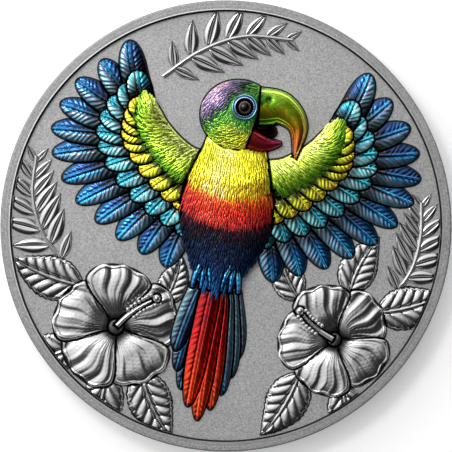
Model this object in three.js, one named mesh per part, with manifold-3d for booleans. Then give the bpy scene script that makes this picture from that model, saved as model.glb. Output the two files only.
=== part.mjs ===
// A round collector's coin in high relief: an antiqued silver blank, struck in one piece with its rim,
// flowers, leaves and fronds, and a parrot with spread wings whose zones are filled with coloured lacquer.
//
// Millimetres. The coin lies flat with its picture up: +X is the right of the picture, +Y its top, and +Z
// stands out of its face. The origin is the middle of the underside, on the plane that the rim rests on.
// "left" and "right" are sides of the picture, as seen from above.
import * as THREE from "three";
import { mergeVertices } from "three/addons/utils/BufferGeometryUtils.js";
import Module from "manifold-3d";

const wasm = await Module();
wasm.setup();

const { degToRad: degrees, lerp, smoothstep } = THREE.MathUtils;
const UP = new THREE.Vector3(0, 0, 1);

// ---------------------------------------------------------------- driving dimensions
const COIN_RADIUS = 25;
const COIN_SIDES = 64;
const RIM_WIDTH = 1;
const RIM_TOP = 3.5;
const RIM_SLOPE = 0.25; // the rim's inner wall leans by this much
const EDGE_CHAMFER = 0.15;
const FIELD = 2.75; // the upper field, which all relief stands on
const REVERSE_FIELD = 0.25; // the underside's field, above the rim that the coin rests on
const RELIEF_TOP = 5.5; // above every piece of relief
const CLEARANCE = 0.12; // between neighbouring pieces of lacquer
const INNER_RIM = COIN_RADIUS - RIM_WIDTH;

const BIRD_TILT = degrees(-8); // the bird leans to the right of the picture
const FLIGHT_FEATHERS = 12; // on each wing
const PRIMARIES = 6; // of those, the ones on the hand
const HEAD_CENTRE = [-0.4, 12.4];
const HEAD_RADII = [4.2, 3.9];
const BODY_TOP = 12;
const BODY_BOTTOM = -6;
const BODY_HALF_WIDTHS = [3.4, 3.5, 4.4, 5.1, 5, 3.9, 2.4]; // at equal steps from the neck to the vent
const TAIL_FEATHERS = 9;
const TAIL_FAN = degrees(15); // from the middle feather to the outermost one
const PETALS = 5; // of a flower
const ROSETTE_PETALS = 8; // on the underside

// Heights of the relief above the field.
const RISE = {
  frond: 0.4, leaf: 0.5, petal: 0.65, stamen: 0.9,
  tail: 0.6, flight: 0.6, greaterCovert: 0.9, medianCovert: 1.15, shoulder: 1.45,
  body: 1.8, head: 1.8, cheek: 1.9, bill: 1.75, eye: 2.05, foot: 1.5,
};

// ---------------------------------------------------------------- lacquers and metal
const finish = (color, roughness = 0.25, metalness = 0.6) =>
  new THREE.MeshStandardMaterial({ color, roughness, metalness });
const silver = finish(0x8f9092, 0.45, 1);
const lacquer = {
  lime: finish(0x7fc41c), leafGreen: finish(0x1f8a3a), yellow: finish(0xf2dc14),
  red: finish(0xd8190f), crimson: finish(0x9c0f2e), blue: finish(0x1558a8), navy: finish(0x0d2240),
  cyan: finish(0x39b4dd), teal: finish(0x14857f), black: finish(0x101218),
};

// ---------------------------------------------------------------- solids
function solidOf(geometry) {
  geometry.deleteAttribute("normal");
  geometry.deleteAttribute("uv");
  const merged = mergeVertices(geometry, 1e-4);
  return new wasm.Manifold(new wasm.Mesh({
    numProp: 3,
    vertProperties: new Float32Array(merged.getAttribute("position").array),
    triVerts: new Uint32Array(merged.index.array),
  }));
}

function geometryOf(solid) {
  const { numProp, vertProperties, triVerts } = solid.getMesh();
  const points = new THREE.InterleavedBuffer(vertProperties, numProp);
  return new THREE.BufferGeometry()
    .setAttribute("position", new THREE.InterleavedBufferAttribute(points, 3, 0))
    .setIndex(new THREE.BufferAttribute(triVerts, 1));
}

const joined = (solids) => wasm.Manifold.union(solids);
const largestBody = (solid) => solid.decompose().sort((a, b) => b.volume() - a.volume())[0];

// A box of along by across cells bent to lie on a curve. top(t, v) and bottom(t, v) give its two faces: t
// runs from the root, 0, to the tip, 1, and v across it from -1 to 1. grow widens it all round, and bulge
// pushes its middle line forward.
function boxAlong(curve, halfWidth, top, bottom, { along, across, grow = 0, bulge = 0 }) {
  const geometry = new THREE.BoxGeometry(1, 1, 1, along, across, 1);
  const position = geometry.getAttribute("position");
  const side = new THREE.Vector3();
  for (let i = 0; i < position.count; i++) {
    const step = position.getX(i) + 0.5;
    const t = Math.sin((step * Math.PI) / 2); // cells get shorter towards the tip, which is round
    const v = 2 * position.getY(i);
    const z = (position.getZ(i) > 0 ? top : bottom)(t, v);
    const ahead = curve.getTangent(t);
    side.crossVectors(UP, ahead);
    const point = curve.getPoint(t).addScaledVector(side, v * (halfWidth(t) + grow));
    if (step === 0 || step === 1) point.addScaledVector(ahead, step ? grow : -grow);
    point.addScaledVector(ahead, bulge * (1 - v * v));
    position.setXYZ(i, point.x, point.y, z);
  }
  return solidOf(geometry);
}

const domed = (v, wall) => wall + (1 - wall) * Math.sqrt(Math.max(0, 1 - v * v));

// A raised form laid along a curve on the field: flat below and domed above, with an upright wall round it
// that is wall times its rise. lean lifts its left edge and lowers its right one, so that a row of them
// lies like shingles. clear is the room that its neighbours leave free.
function ribbon(curve, halfWidth, rise, { along = 4, across = 2, wall = 0.45, lean = 0, bulge = 0 } = {}) {
  const height = typeof rise === "function" ? rise : () => rise;
  const top = (t, v) => FIELD + height(t) * (domed(v, wall) + lean * v);
  const room = { along, across, bulge, grow: CLEARANCE };
  return {
    solid: boxAlong(curve, halfWidth, top, () => FIELD, { along, across, bulge }),
    clear: boxAlong(curve, halfWidth, () => RELIEF_TOP, () => FIELD - 1, room),
  };
}

// A round or oval boss on the field, domed like a lens over an upright wall.
function dome([x, y], [radiusX, radiusY], rise, { sides = 20, rings = 3, wall = 0.45 } = {}) {
  const profile = [new THREE.Vector2(0, 0), new THREE.Vector2(1, 0)];
  for (let i = 0; i <= rings; i++) {
    const across = i === rings ? 0 : Math.cos((i / rings) * (Math.PI / 2));
    profile.push(new THREE.Vector2(across, rise * domed(across, wall)));
  }
  const place = (geometry, grow, z) =>
    solidOf(geometry.rotateX(Math.PI / 2).scale(radiusX + grow, radiusY + grow, 1).translate(x, y, z));
  const room = RELIEF_TOP - FIELD + 1;
  return {
    solid: place(new THREE.LatheGeometry(profile, sides), 0, FIELD),
    clear: place(new THREE.CylinderGeometry(1, 1, room, sides), CLEARANCE, FIELD - 1 + room / 2),
  };
}

// ---------------------------------------------------------------- outlines of feathers and leaves
const vector = ([x, y]) => new THREE.Vector3(x, y, 0);
const spline = (points) => new THREE.CatmullRomCurve3(points.map(vector), false, "catmullrom");
const polar = ([x, y], radius, angle) => [x + radius * Math.cos(angle), y + radius * Math.sin(angle)];

// A curve from root to tip that bows to its left by bow times its length.
function bowed(root, tip, bow) {
  const [a, b] = [vector(root), vector(tip)];
  const span = b.clone().sub(a);
  const middle = a.clone().lerp(b, 0.5).addScaledVector(new THREE.Vector3(-span.y, span.x, 0), bow);
  return new THREE.QuadraticBezierCurve3(a, middle, b);
}

// Half widths from root to tip. Each ends a little short of a point, so that the tip keeps some thickness.
const roundTip = (t, from) => Math.sqrt(Math.max(0.02, 1 - Math.max(0, (t - from) / (1 - from)) ** 2));
const swelling = (t, root, until) => lerp(root, 1, smoothstep(t, 0, until));
const featherWidth = (half, root = 0.5) => (t) => half * swelling(t, root, 0.3) * roundTip(t, 0.6);
const leafWidth = (half) => (t) => half * Math.max(0.1, Math.sin(Math.PI * Math.min(1, t) ** 0.75)) ** 0.9;
const petalWidth = (half) => (t) => half * swelling(t, 0.2, 0.75) * roundTip(t, 0.7);
const taper = (root, tip) => (t) => lerp(root, tip, t);

// ---------------------------------------------------------------- the blank
function coinBlank() {
  const profile = [
    [0, REVERSE_FIELD],
    [INNER_RIM - RIM_SLOPE, REVERSE_FIELD],
    [INNER_RIM, 0],
    [COIN_RADIUS - EDGE_CHAMFER, 0],
    [COIN_RADIUS, EDGE_CHAMFER],
    [COIN_RADIUS, RIM_TOP - EDGE_CHAMFER],
    [COIN_RADIUS - EDGE_CHAMFER, RIM_TOP],
    [INNER_RIM, RIM_TOP],
    [INNER_RIM - RIM_SLOPE, FIELD],
    [0, FIELD],
  ].map(([radius, z]) => new THREE.Vector2(radius, z));
  return solidOf(new THREE.LatheGeometry(profile, COIN_SIDES).rotateX(Math.PI / 2));
}

// The underside carries a plain rosette, which stays above the plane that the rim rests on.
function rosette() {
  const petals = [];
  const depth = (t, v) => REVERSE_FIELD - 0.18 * domed(v, 0.5);
  for (let i = 0; i < ROSETTE_PETALS; i++) {
    const angle = (i * 2 * Math.PI) / ROSETTE_PETALS;
    const curve = bowed(polar([0, 0], 2.5, angle), polar([0, 0], 13, angle), 0);
    petals.push(boxAlong(curve, leafWidth(2.6), () => REVERSE_FIELD + 0.1, depth, { along: 2, across: 2 }));
  }
  return petals;
}

// ---------------------------------------------------------------- silver flowers and leaves
// An open five-petalled flower with a long column of stamens that leans out of it.
function blossom(centre, radius, turn, stamenTurn) {
  const forms = [];
  for (let i = 0; i < PETALS; i++) {
    const angle = turn + (i * 2 * Math.PI) / PETALS;
    const petal = bowed(polar(centre, 0.08 * radius, angle), polar(centre, radius, angle + 0.12), 0.06);
    forms.push(ribbon(petal, petalWidth(0.54 * radius), RISE.petal, { along: 3, lean: 0.25 }));
  }
  const column = bowed(centre, polar(centre, 0.78 * radius, stamenTurn), 0.12);
  forms.push(ribbon(column, taper(0.38, 0.22), RISE.stamen, { along: 2 }));
  forms.push(dome(polar(centre, 0.8 * radius, stamenTurn), [0.6, 0.6], RISE.stamen, { sides: 8, rings: 2 }));
  return forms;
}

function leaf(root, length, angle, bow = 0.12) {
  const midrib = bowed(root, polar(root, length, angle), bow);
  return ribbon(midrib, leafWidth(0.3 * length), RISE.leaf, { along: 3 });
}

// A spine with pairs of narrow leaflets, which shorten towards its tip.
function frond(points, pairs, longest) {
  const spine = spline(points);
  const forms = [ribbon(spine, taper(0.3, 0.14), RISE.frond * 1.25, { along: 5 })];
  for (let i = 0; i < pairs; i++) {
    const t = lerp(0.1, 0.95, i / (pairs - 1));
    const at = spine.getPoint(t);
    const ahead = spine.getTangent(t);
    const length = longest * lerp(0.7, 1, smoothstep(t, 0, 0.35)) * lerp(1, 0.45, smoothstep(t, 0.35, 1));
    for (const side of [-1, 1]) {
      const angle = Math.atan2(ahead.y, ahead.x) + side * lerp(1.05, 0.6, t);
      const root = [at.x, at.y];
      const blade = bowed(root, polar(root, length, angle), -0.08 * side);
      const facet = { along: 2, across: 1, wall: 0.8, lean: 0.3 * side };
      forms.push(ribbon(blade, leafWidth(0.2 * length), RISE.frond, facet));
    }
  }
  return forms;
}

const LARGE_BLOSSOM = { centre: [-12.2, -11.2], radius: 6.9 };
const SMALL_BLOSSOM = { centre: [12, -12.6], radius: 6.2 };

const foliage = [
  ...blossom(LARGE_BLOSSOM.centre, LARGE_BLOSSOM.radius, degrees(78), degrees(35)),
  ...blossom(SMALL_BLOSSOM.centre, SMALL_BLOSSOM.radius, degrees(100), degrees(140)),
  leaf([-16.4, -13.2], 8.4, degrees(192)),
  leaf([-15.8, -6.6], 8.4, degrees(158)),
  leaf([-13.2, -16.2], 8.6, degrees(250)),
  leaf([-9.4, -16], 8.4, degrees(294), -0.12),
  leaf([-7, -8.6], 5.8, degrees(70), -0.12),
  leaf([16.6, -9.6], 8.2, degrees(16), -0.12),
  leaf([13.6, -7.6], 7.2, degrees(62)),
  leaf([8.2, -8.2], 6.4, degrees(112)),
  leaf([8.2, -16.2], 8.2, degrees(238)),
  leaf([12.8, -17.6], 7.6, degrees(292), -0.12),
  ...frond([[-17.4, -4.6], [-20.2, -1], [-21.4, 3.4], [-21, 7.8]], 7, 4.6),
  ...frond([[18.4, -8], [20.6, -4.8], [21.6, -1.2], [21.7, 2.6]], 7, 4.2),
  ...frond([[-7, 16.6], [-2.8, 19.4], [2, 21], [7.4, 20.6]], 7, 4.4),
];

// ---------------------------------------------------------------- the lacquered bird
const onCoin = (x, y) => {
  const point = new THREE.Vector3(x, y, 0).applyAxisAngle(UP, BIRD_TILT);
  return [point.x, point.y];
};
const birdSpline = (points, side = 1) => spline(points.map(([x, y]) => onCoin(side * x, y)));

// The right wing, from its outermost feather to the innermost. The left one is its mirror image.
const WING_ROOTS = [[10.4, 11.4], [9.5, 9.6], [8.4, 8.2], [5.8, 5.2], [3, 3]];
const WING_TIPS = [[13.4, 18.9], [19, 13.2], [20.6, 7], [17.6, 1.2], [12.2, -2.8], [6, -5.4]];
const WING_ARM = [[2.4, 5.4], [6, 6.6], [9.3, 9.6], [11, 13]];

function wing(side) {
  const roots = birdSpline(WING_ROOTS, side);
  const tips = birdSpline(WING_TIPS, side);
  // A row of feathers that reach the given share of the way from the roots to the wing's edge.
  const row = (first, last, share, halfWidth, rise, cells) => {
    const forms = [];
    for (let i = first; i <= last; i++) {
      const s = i / (FLIGHT_FEATHERS - 1);
      const root = roots.getPoint(s);
      const tip = root.clone().lerp(tips.getPoint(s), share);
      const curve = bowed([root.x, root.y], [tip.x, tip.y], side * lerp(-0.1, 0.1, s));
      forms.push(ribbon(curve, featherWidth(halfWidth, 0.6), rise, { ...cells, lean: -0.18 * side }));
    }
    return forms;
  };
  const last = FLIGHT_FEATHERS - 1;
  return {
    shoulder: [ribbon(birdSpline(WING_ARM, side), (t) => lerp(2.3, 1.3, t) * roundTip(t, 0.75), RISE.shoulder,
      { along: 6, across: 4, wall: 0.6 })],
    median_coverts: row(1, last, 0.33, 1.2, RISE.medianCovert, { along: 2, across: 1, wall: 0.8 }),
    greater_coverts: row(0, last, 0.57, 1.35, RISE.greaterCovert, { along: 2, across: 1, wall: 0.8 }),
    primaries: row(0, PRIMARIES - 1, 1, 1.5, RISE.flight, { along: 3 }),
    secondaries: row(PRIMARIES, last, 1, 1.5, RISE.flight, { along: 3 }),
  };
}

const bodyOutline = spline(BODY_HALF_WIDTHS.map((halfWidth) => [halfWidth, 0]));

// A length of the body between two heights. Its ends bulge down, like the edge of a bib.
function bodyLength(top, bottom) {
  const line = new THREE.LineCurve3(vector(onCoin(0, top)), vector(onCoin(-0.3, bottom)));
  const share = (y) => (BODY_TOP - y) / (BODY_TOP - BODY_BOTTOM);
  const halfWidth = (t) => bodyOutline.getPoint(share(lerp(top, bottom, t))).x;
  return ribbon(line, halfWidth, RISE.body, { along: 4, across: 6, wall: 0.4, bulge: 1.2 });
}

const headPoint = (x, y) => onCoin(HEAD_CENTRE[0] + x, HEAD_CENTRE[1] + y);
const headSpline = (points) => spline(points.map(([x, y]) => headPoint(x, y)));

function tailFeather(index) {
  const share = (2 * index) / (TAIL_FEATHERS - 1) - 1; // -1 on the left, 0 in the middle
  const angle = degrees(-90) + BIRD_TILT + share * TAIL_FAN;
  const root = onCoin(0.8 * share - 0.2, -4.4);
  const length = lerp(17.4, 10.4, Math.abs(share) ** 1.2);
  const curve = bowed(root, polar(root, length, angle), 0.05 * share);
  const rise = RISE.tail * lerp(1.2, 0.8, Math.abs(share));
  return ribbon(curve, featherWidth(1.15, 0.5), rise, { along: 3, lean: 0.2 * Math.sign(share) });
}
const tailFeathers = (from, to) =>
  Array.from({ length: to - from + 1 }, (_, i) => tailFeather(from + i));

function foot(x) {
  const toes = [];
  for (const spread of [-1, 0, 1]) {
    const curve = bowed(onCoin(x + 0.25 * spread, -4.2), onCoin(x + 0.95 * spread, -7.2), 0.1 * spread);
    toes.push(ribbon(curve, taper(0.42, 0.22), RISE.foot, { along: 1, wall: 0.75 }));
  }
  return toes;
}

// ---------------------------------------------------------------- assembly
const coin = new THREE.Group();
const parrot = new THREE.Group();
coin.add(parrot);
const taken = []; // the room that finished pieces keep clear

function add(group, name, solid, material) {
  const mesh = new THREE.Mesh(geometryOf(solid), material);
  mesh.name = name;
  group.add(mesh);
}

// Adds one piece of lacquer, cut back from the pieces that were added before it.
function inlay(group, name, material, forms) {
  const whole = joined(forms.map((form) => form.solid));
  const piece = taken.length ? whole.subtract(joined(taken)) : whole;
  add(group, name, largestBody(piece), material);
  taken.push(joined(forms.map((form) => form.clear)));
}

function addHead() {
  const upperBill = headSpline([[2.2, 1.2], [4.8, 1.3], [6.8, -0.5], [6.9, -4.1]]);
  const lowerBill = headSpline([[1.7, -2.4], [3.5, -2.8], [5.2, -2.5]]);
  const eye = dome(headPoint(0.9, 0.9), [0.85, 0.85], RISE.eye, { sides: 14, rings: 2 });
  const cheek = dome(headPoint(1.2, 0.1), [1.9, 2.1], RISE.cheek, { sides: 16, wall: 0.8 });
  inlay(parrot, "eye", lacquer.black, [eye]);
  inlay(parrot, "cheek", lacquer.cyan, [cheek]);
  const upperHalfWidth = (t) => lerp(2.2, 0.14, t ** 1.5);
  const lowerHalfWidth = (t) => lerp(1.2, 0.2, t ** 1.5);
  const billCells = { along: 6, across: 4 };
  inlay(parrot, "bill_upper", lacquer.lime, [
    ribbon(upperBill, upperHalfWidth, taper(RISE.bill, 0.8), billCells),
  ]);
  inlay(parrot, "bill_lower", lacquer.crimson, [
    ribbon(lowerBill, lowerHalfWidth, taper(1.4, 0.8)),
  ]);
  inlay(parrot, "head", lacquer.leafGreen, [dome(headPoint(0, 0), HEAD_RADII, RISE.head)]);
}

function addBody() {
  inlay(parrot, "foot_left", lacquer.cyan, foot(-1.8));
  inlay(parrot, "foot_right", lacquer.cyan, foot(1.4));
  inlay(parrot, "bib", lacquer.yellow, [bodyLength(11, 4.6)]);
  inlay(parrot, "breast_band", lacquer.red, [bodyLength(4.6, 1.4)]);
  inlay(parrot, "belly", lacquer.navy, [bodyLength(1.4, BODY_BOTTOM)]);
}

function addWing(sideName, side) {
  const lacquers = {
    shoulder: lacquer.lime, median_coverts: lacquer.yellow, greater_coverts: lacquer.teal,
    secondaries: lacquer.blue, primaries: lacquer.navy,
  };
  const rows = wing(side);
  const group = new THREE.Group();
  parrot.add(group);
  for (const [rowName, material] of Object.entries(lacquers)) {
    inlay(group, `wing_${sideName}_${rowName}`, material, rows[rowName]);
  }
}

function addTail() {
  inlay(parrot, "tail_middle", lacquer.red, tailFeathers(3, 5));
  inlay(parrot, "tail_left", lacquer.black, tailFeathers(0, 2));
  inlay(parrot, "tail_right", lacquer.black, tailFeathers(6, 8));
}

function addSilver() {
  const inside = new THREE.CylinderGeometry(INNER_RIM, INNER_RIM, RIM_TOP, COIN_SIDES);
  const insideRim = solidOf(inside.rotateX(Math.PI / 2).translate(0, 0, RIM_TOP / 2));
  const relief = joined(foliage.map((form) => form.solid)).subtract(joined(taken)).intersect(insideRim);
  add(coin, "coin", largestBody(joined([coinBlank(), relief, ...rosette()])), silver);
}

addHead();
addBody();
addWing("left", -1);
addWing("right", 1);
addTail();
addSilver();

export default coin;
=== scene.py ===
# %% [markdown]
# # A lacquered silver coin in high relief
# The object is a round collector's coin, 50 mm across. A die strikes the disc, its rim, the flowers and
# leaves and the parrot in one piece of silver. The silver is then blackened with oxide and polished again
# on the high points, and the parrot's zones are filled with clear coloured lacquer.
#
# Each code cell below makes one of these things. The solids of the construction model come first, because
# the size of the coin and the height of its field are read from them.

# %% The frame
from dataclasses import dataclass, field
from math import cos, pi, radians, sin, tau

import bpy
import numpy as np
from mathutils import Matrix, Vector
from mathutils.bvhtree import BVHTree


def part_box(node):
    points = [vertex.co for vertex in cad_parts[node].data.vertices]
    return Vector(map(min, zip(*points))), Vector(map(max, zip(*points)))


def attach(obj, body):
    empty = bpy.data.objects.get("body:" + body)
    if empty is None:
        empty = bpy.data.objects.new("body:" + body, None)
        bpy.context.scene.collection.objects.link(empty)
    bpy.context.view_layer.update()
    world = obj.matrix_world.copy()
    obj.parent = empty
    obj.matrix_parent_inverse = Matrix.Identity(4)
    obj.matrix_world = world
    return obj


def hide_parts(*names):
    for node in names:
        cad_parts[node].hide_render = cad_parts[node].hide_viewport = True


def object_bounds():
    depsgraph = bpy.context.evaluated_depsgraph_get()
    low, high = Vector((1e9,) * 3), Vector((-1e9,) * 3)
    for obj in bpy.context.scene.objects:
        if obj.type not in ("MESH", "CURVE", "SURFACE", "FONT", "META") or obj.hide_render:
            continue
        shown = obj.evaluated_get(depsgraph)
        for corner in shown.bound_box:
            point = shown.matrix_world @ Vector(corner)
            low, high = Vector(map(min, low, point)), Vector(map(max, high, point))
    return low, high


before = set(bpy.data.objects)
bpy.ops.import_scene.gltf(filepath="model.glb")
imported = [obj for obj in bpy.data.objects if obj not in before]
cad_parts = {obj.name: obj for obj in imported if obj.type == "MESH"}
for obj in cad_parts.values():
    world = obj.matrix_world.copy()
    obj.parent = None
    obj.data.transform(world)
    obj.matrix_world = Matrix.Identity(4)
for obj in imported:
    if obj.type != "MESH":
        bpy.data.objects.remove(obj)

cad_low, cad_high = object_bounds()
size_mm = [round(side * 1000, 2) for side in cad_high - cad_low]
print("construction model:", len(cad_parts), "nodes,", size_mm, "mm")

# %% [markdown]
# ## Measures
# A coin is drawn in millimetres, so the shapes below are too, and they are turned into Blender's metres as
# their meshes are made. The field is the flat background that all relief stands on. Its height is read from
# the solids, because the belly rests on it. Forms reach a little into the field, so that no gap shows
# under them.

# %% Measures
MM = 0.001
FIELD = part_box("belly")[0].z / MM
COIN_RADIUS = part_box("coin")[1].x / MM
RIM_TOP = 3.5
INNER_RIM = COIN_RADIUS - 1
RIM_FLAT = RIM_TOP - 0.05  # the flat of the rim, a little below the wire along its inner edge
RELIEF_LIMIT = INNER_RIM - 0.26  # every form sinks into the field before it gets this far out
REVERSE_FIELD = 0.25  # how deep the recess of the back is
FOOT = FIELD - 0.1  # the underside of every form
SUNK = FIELD - 0.05  # the top of a form where another one covers it
GROOVE, SLOPE = 0.05, 0.13  # the gap between two forms, and the width of the slope beside it
rng = np.random.default_rng(7)  # every random number is drawn from here
print("field at", round(FIELD, 3), "mm, radius", round(COIN_RADIUS, 3), "mm")

# %% [markdown]
# ## Curves
# Feathers, leaves and petals are all drawn the same way: a curve for the midrib and a rule for the half
# width. A few small functions of a share of the way, from 0 to 1, are enough for both. NumPy works them
# out for all points of a form at once.

# %% Curves
def mix(a, b, share):
    return a + (b - a) * share


def smoothstep(x, low=0.0, high=1.0):
    share = np.clip((x - low) / (high - low), 0, 1)
    return share * share * (3 - 2 * share)


def bell(x, centre, width):
    return np.exp(-(((x - centre) / width) ** 2))


def domed(v, wall):
    """A dome across a form: 1 in the middle and wall at the edge."""
    return wall + (1 - wall) * np.sqrt(np.maximum(0, 1 - v * v))


def spline(points):
    """A smooth curve through the points, as a function of the share of the way along it."""
    inner = np.array(points, float)
    p = np.vstack([2 * inner[0] - inner[1], inner, 2 * inner[-1] - inner[-2]])

    def at(share):
        place = np.clip(np.asarray(share, float), 0, 1) * (len(inner) - 1)
        i = np.minimum(place.astype(int), len(inner) - 2)
        w = (place - i)[..., None]
        start, end = p[i + 1], p[i + 2]
        leave, arrive = (end - p[i]) / 2, (p[i + 3] - start) / 2
        hermite = (2 * w**3 - 3 * w**2 + 1) * start + (w**3 - 2 * w**2 + w) * leave
        return hermite + (3 * w**2 - 2 * w**3) * end + (w**3 - w**2) * arrive

    return at


def bowed(root, tip, bow):
    """A curve from root to tip that bows to its left by bow times its length."""
    root, tip = np.array(root, float), np.array(tip, float)
    middle = (root + tip) / 2 + bow * leftward(tip - root)

    def at(share):
        w = np.asarray(share, float)[..., None]
        return (1 - w) ** 2 * root + 2 * w * (1 - w) * middle + w**2 * tip

    return at


def direction(curve, share):
    near = 1e-4
    ahead = curve(np.minimum(share + near, 1)) - curve(np.maximum(share - near, 0))
    return ahead / np.linalg.norm(ahead, axis=-1, keepdims=True)


def leftward(ahead):
    """A quarter turn to the left of a direction."""
    return np.stack([-ahead[..., 1], ahead[..., 0]], -1)


def circle(centre, radii, count):
    """Points round an oval, counter-clockwise."""
    angle = np.linspace(0, tau, count, endpoint=False)
    return np.stack([centre[0] + radii[0] * np.cos(angle), centre[1] + radii[1] * np.sin(angle)], -1)


def polar(centre, radius, angle):
    return np.array([centre[0] + radius * cos(angle), centre[1] + radius * sin(angle)])


# %% [markdown]
# ## Outlines
# What makes an outline a feather, a leaf or a petal is how its width changes from root to tip. A list of
# points would show its corners close up. A rule stays smooth at any resolution, and one rule serves every
# size of feather.

# %% Widths
def round_tip(t, start):
    """1 up to the start of the tip, and from there a quarter of an oval."""
    return np.sqrt(np.maximum(0.001, 1 - np.maximum(0, (t - start) / (1 - start)) ** 2))


def feather_width(half, root=0.5):
    return lambda t: half * mix(root, 1, smoothstep(t, 0, 0.3)) * round_tip(t, 0.6)


def leaf_width(half, teeth=0):
    """Pointed at both ends, with saw teeth along the edge where teeth is above 0."""
    def width(t):
        tooth = (t * teeth) % 1 * 0.09 * np.sin(pi * t) if teeth else 0
        return half * (np.maximum(0.03, np.sin(pi * np.minimum(1, t) ** 0.75)) ** 0.9 - tooth)
    return width


def petal_width(half):
    return lambda t: half * mix(0.2, 1, smoothstep(t, 0, 0.75)) * round_tip(t, 0.65)


def taper(root, tip):
    return lambda t: mix(root, tip, t)


# %% [markdown]
# ## Struck forms
# A struck form is a closed shell: a relief on top, a steep wall round it and a flat underside that is sunk
# in the field. The top is a grid of points that follows the midrib, so that veins and barbs are pressed
# into it as real shape. Each point also carries numbers that the finishes read later: how far along and
# across the form it lies, the slanting line of barb that it is on, and how worn the metal is. On the
# feathers that last number also holds painted shade.
#
# The UV map gives each form a cell of its own, so that nothing overlaps when a finish is baked. In a cell,
# the top takes the larger part and the underside a narrow band beside it.

# %% A form along a curve
BARB_SLANT = 0.9  # how far a barb runs towards the tip for each millimetre across


@dataclass
class Shape:
    points: np.ndarray  # in millimetres
    faces: list  # arrays of corners, one array for each number of sides
    corners: np.ndarray  # a place on the unit square for each corner of each face
    notes: dict = field(default_factory=dict)  # numbers for each point
    outline: np.ndarray = None


def columns(count, focus=1.0):
    """Places across a form, from -1 to 1. The outermost two are the foot of its wall."""
    wall_top = 0.96
    inner = np.linspace(-1, 1, count - 2)
    return np.concatenate([[-1], wall_top * np.sign(inner) * np.abs(inner) ** focus, [1]])


def stations(rows, covered=0.0):
    """Places along a form, few in its covered part and close together towards its tip."""
    few = rows // 8 if covered else 0
    u = np.linspace(0, 1, rows - few)
    return np.concatenate([np.linspace(0, covered, few, endpoint=False), mix(covered, 1, 1 - (1 - u) ** 1.6)])


def strip(
    curve, half_width, relief, rows, across, push=None, flip=1, shade=None, covered=0.0, tip=None,
):
    """A form laid along a curve. relief(t, v, edge, along, side) gives its height above the field and its
    wear. t runs along the form and v across it, and edge is 1 all along its border. along and side are the
    same two ways in millimetres. Where the tip is round, from tip on, v narrows with the form, so that
    lines run straight out of it."""
    t = stations(rows, covered)
    ahead = direction(curve, t)
    left = leftward(ahead)
    spine = curve(t)
    steps = np.linalg.norm(np.diff(spine, axis=0), axis=1)
    along = np.concatenate([[0], np.cumsum(steps)])[:, None] + 0 * across
    t, v = t[:, None] + 0 * across, across[None, :] + 0 * t[:, None]
    side = v * half_width(t)
    flat = spine[:, None] + left[:, None] * side[..., None]
    if push is not None:
        flat = flat + ahead[:, None] * push(t, v)[..., None]
    cap = round_tip(t, tip) if tip else 1 + 0 * t
    edge = np.sqrt(np.clip((v * cap) ** 2 + 1 - cap**2, 0, 1))
    height, wear = relief(t, v * cap, edge, along, side)
    z = FIELD + height
    z[[0, -1]] = FIELD + 0.03
    z[:, [0, -1]] = FOOT
    wear = np.clip(wear + 0 * z, 0, 1)
    wear[:, [0, -1]] = 0
    wear[[0, -1]] = 0
    index = np.arange(z.size).reshape(z.shape)
    top = np.stack([index[:-1, :-1], index[1:, :-1], index[1:, 1:], index[:-1, 1:]], -1).reshape(-1, 4)
    floor = np.stack([index[:-1, -1], index[1:, -1], index[1:, 0], index[:-1, 0]], -1)
    caps = [index[:1], index[-1:, ::-1]]
    unit = np.stack([t, 0.42 + 0.42 * v], -1).reshape(-1, 2)
    under = np.stack([t, 0.92 + 0.05 * v], -1).reshape(-1, 2)
    corners = [unit[top.ravel()], under[floor.ravel()], under[caps[0].ravel()], under[caps[1].ravel()]]
    return Shape(
        points=np.concatenate([flat, z[..., None]], -1).reshape(-1, 3),
        faces=[top, floor, *caps],
        corners=np.concatenate(corners),
        notes={
            "along": (t if shade is None else shade(t, v)).ravel(),
            "across": flip * (v * cap).ravel(),
            "barb": (along - BARB_SLANT * np.abs(side)).ravel(),
            "wear": wear.ravel(),
        },
        outline=outline_of(curve, half_width, push),
    )


def outline_of(curve, half_width, push=None):
    """The form's footprint as a polygon, counter-clockwise."""
    t = stations(40)
    ahead = direction(curve, t)
    spine = curve(t)
    reach = half_width(t)[:, None] * leftward(ahead)
    arc = np.linspace(1, -1, 17)[1:-1]
    ends = []
    for row, share in ((-1, 1.0), (0, 0.0)):
        v = arc if row else -arc
        bulge = push(share + 0 * v, v) if push else 0 * v
        ends.append(spine[row] + reach[row] * v[:, None] + ahead[row] * bulge[:, None])
    around = np.concatenate([spine + reach, ends[0], (spine - reach)[::-1], ends[1]])
    return around[::-1]


# %% [markdown]
# ## Round forms
# The eye, the head and the middles of the flowers are round, and a grid along a curve would pinch at their
# ends. They are made of rings round a middle point instead. The rings are closer together near the wall,
# where the dome is steepest.

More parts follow.
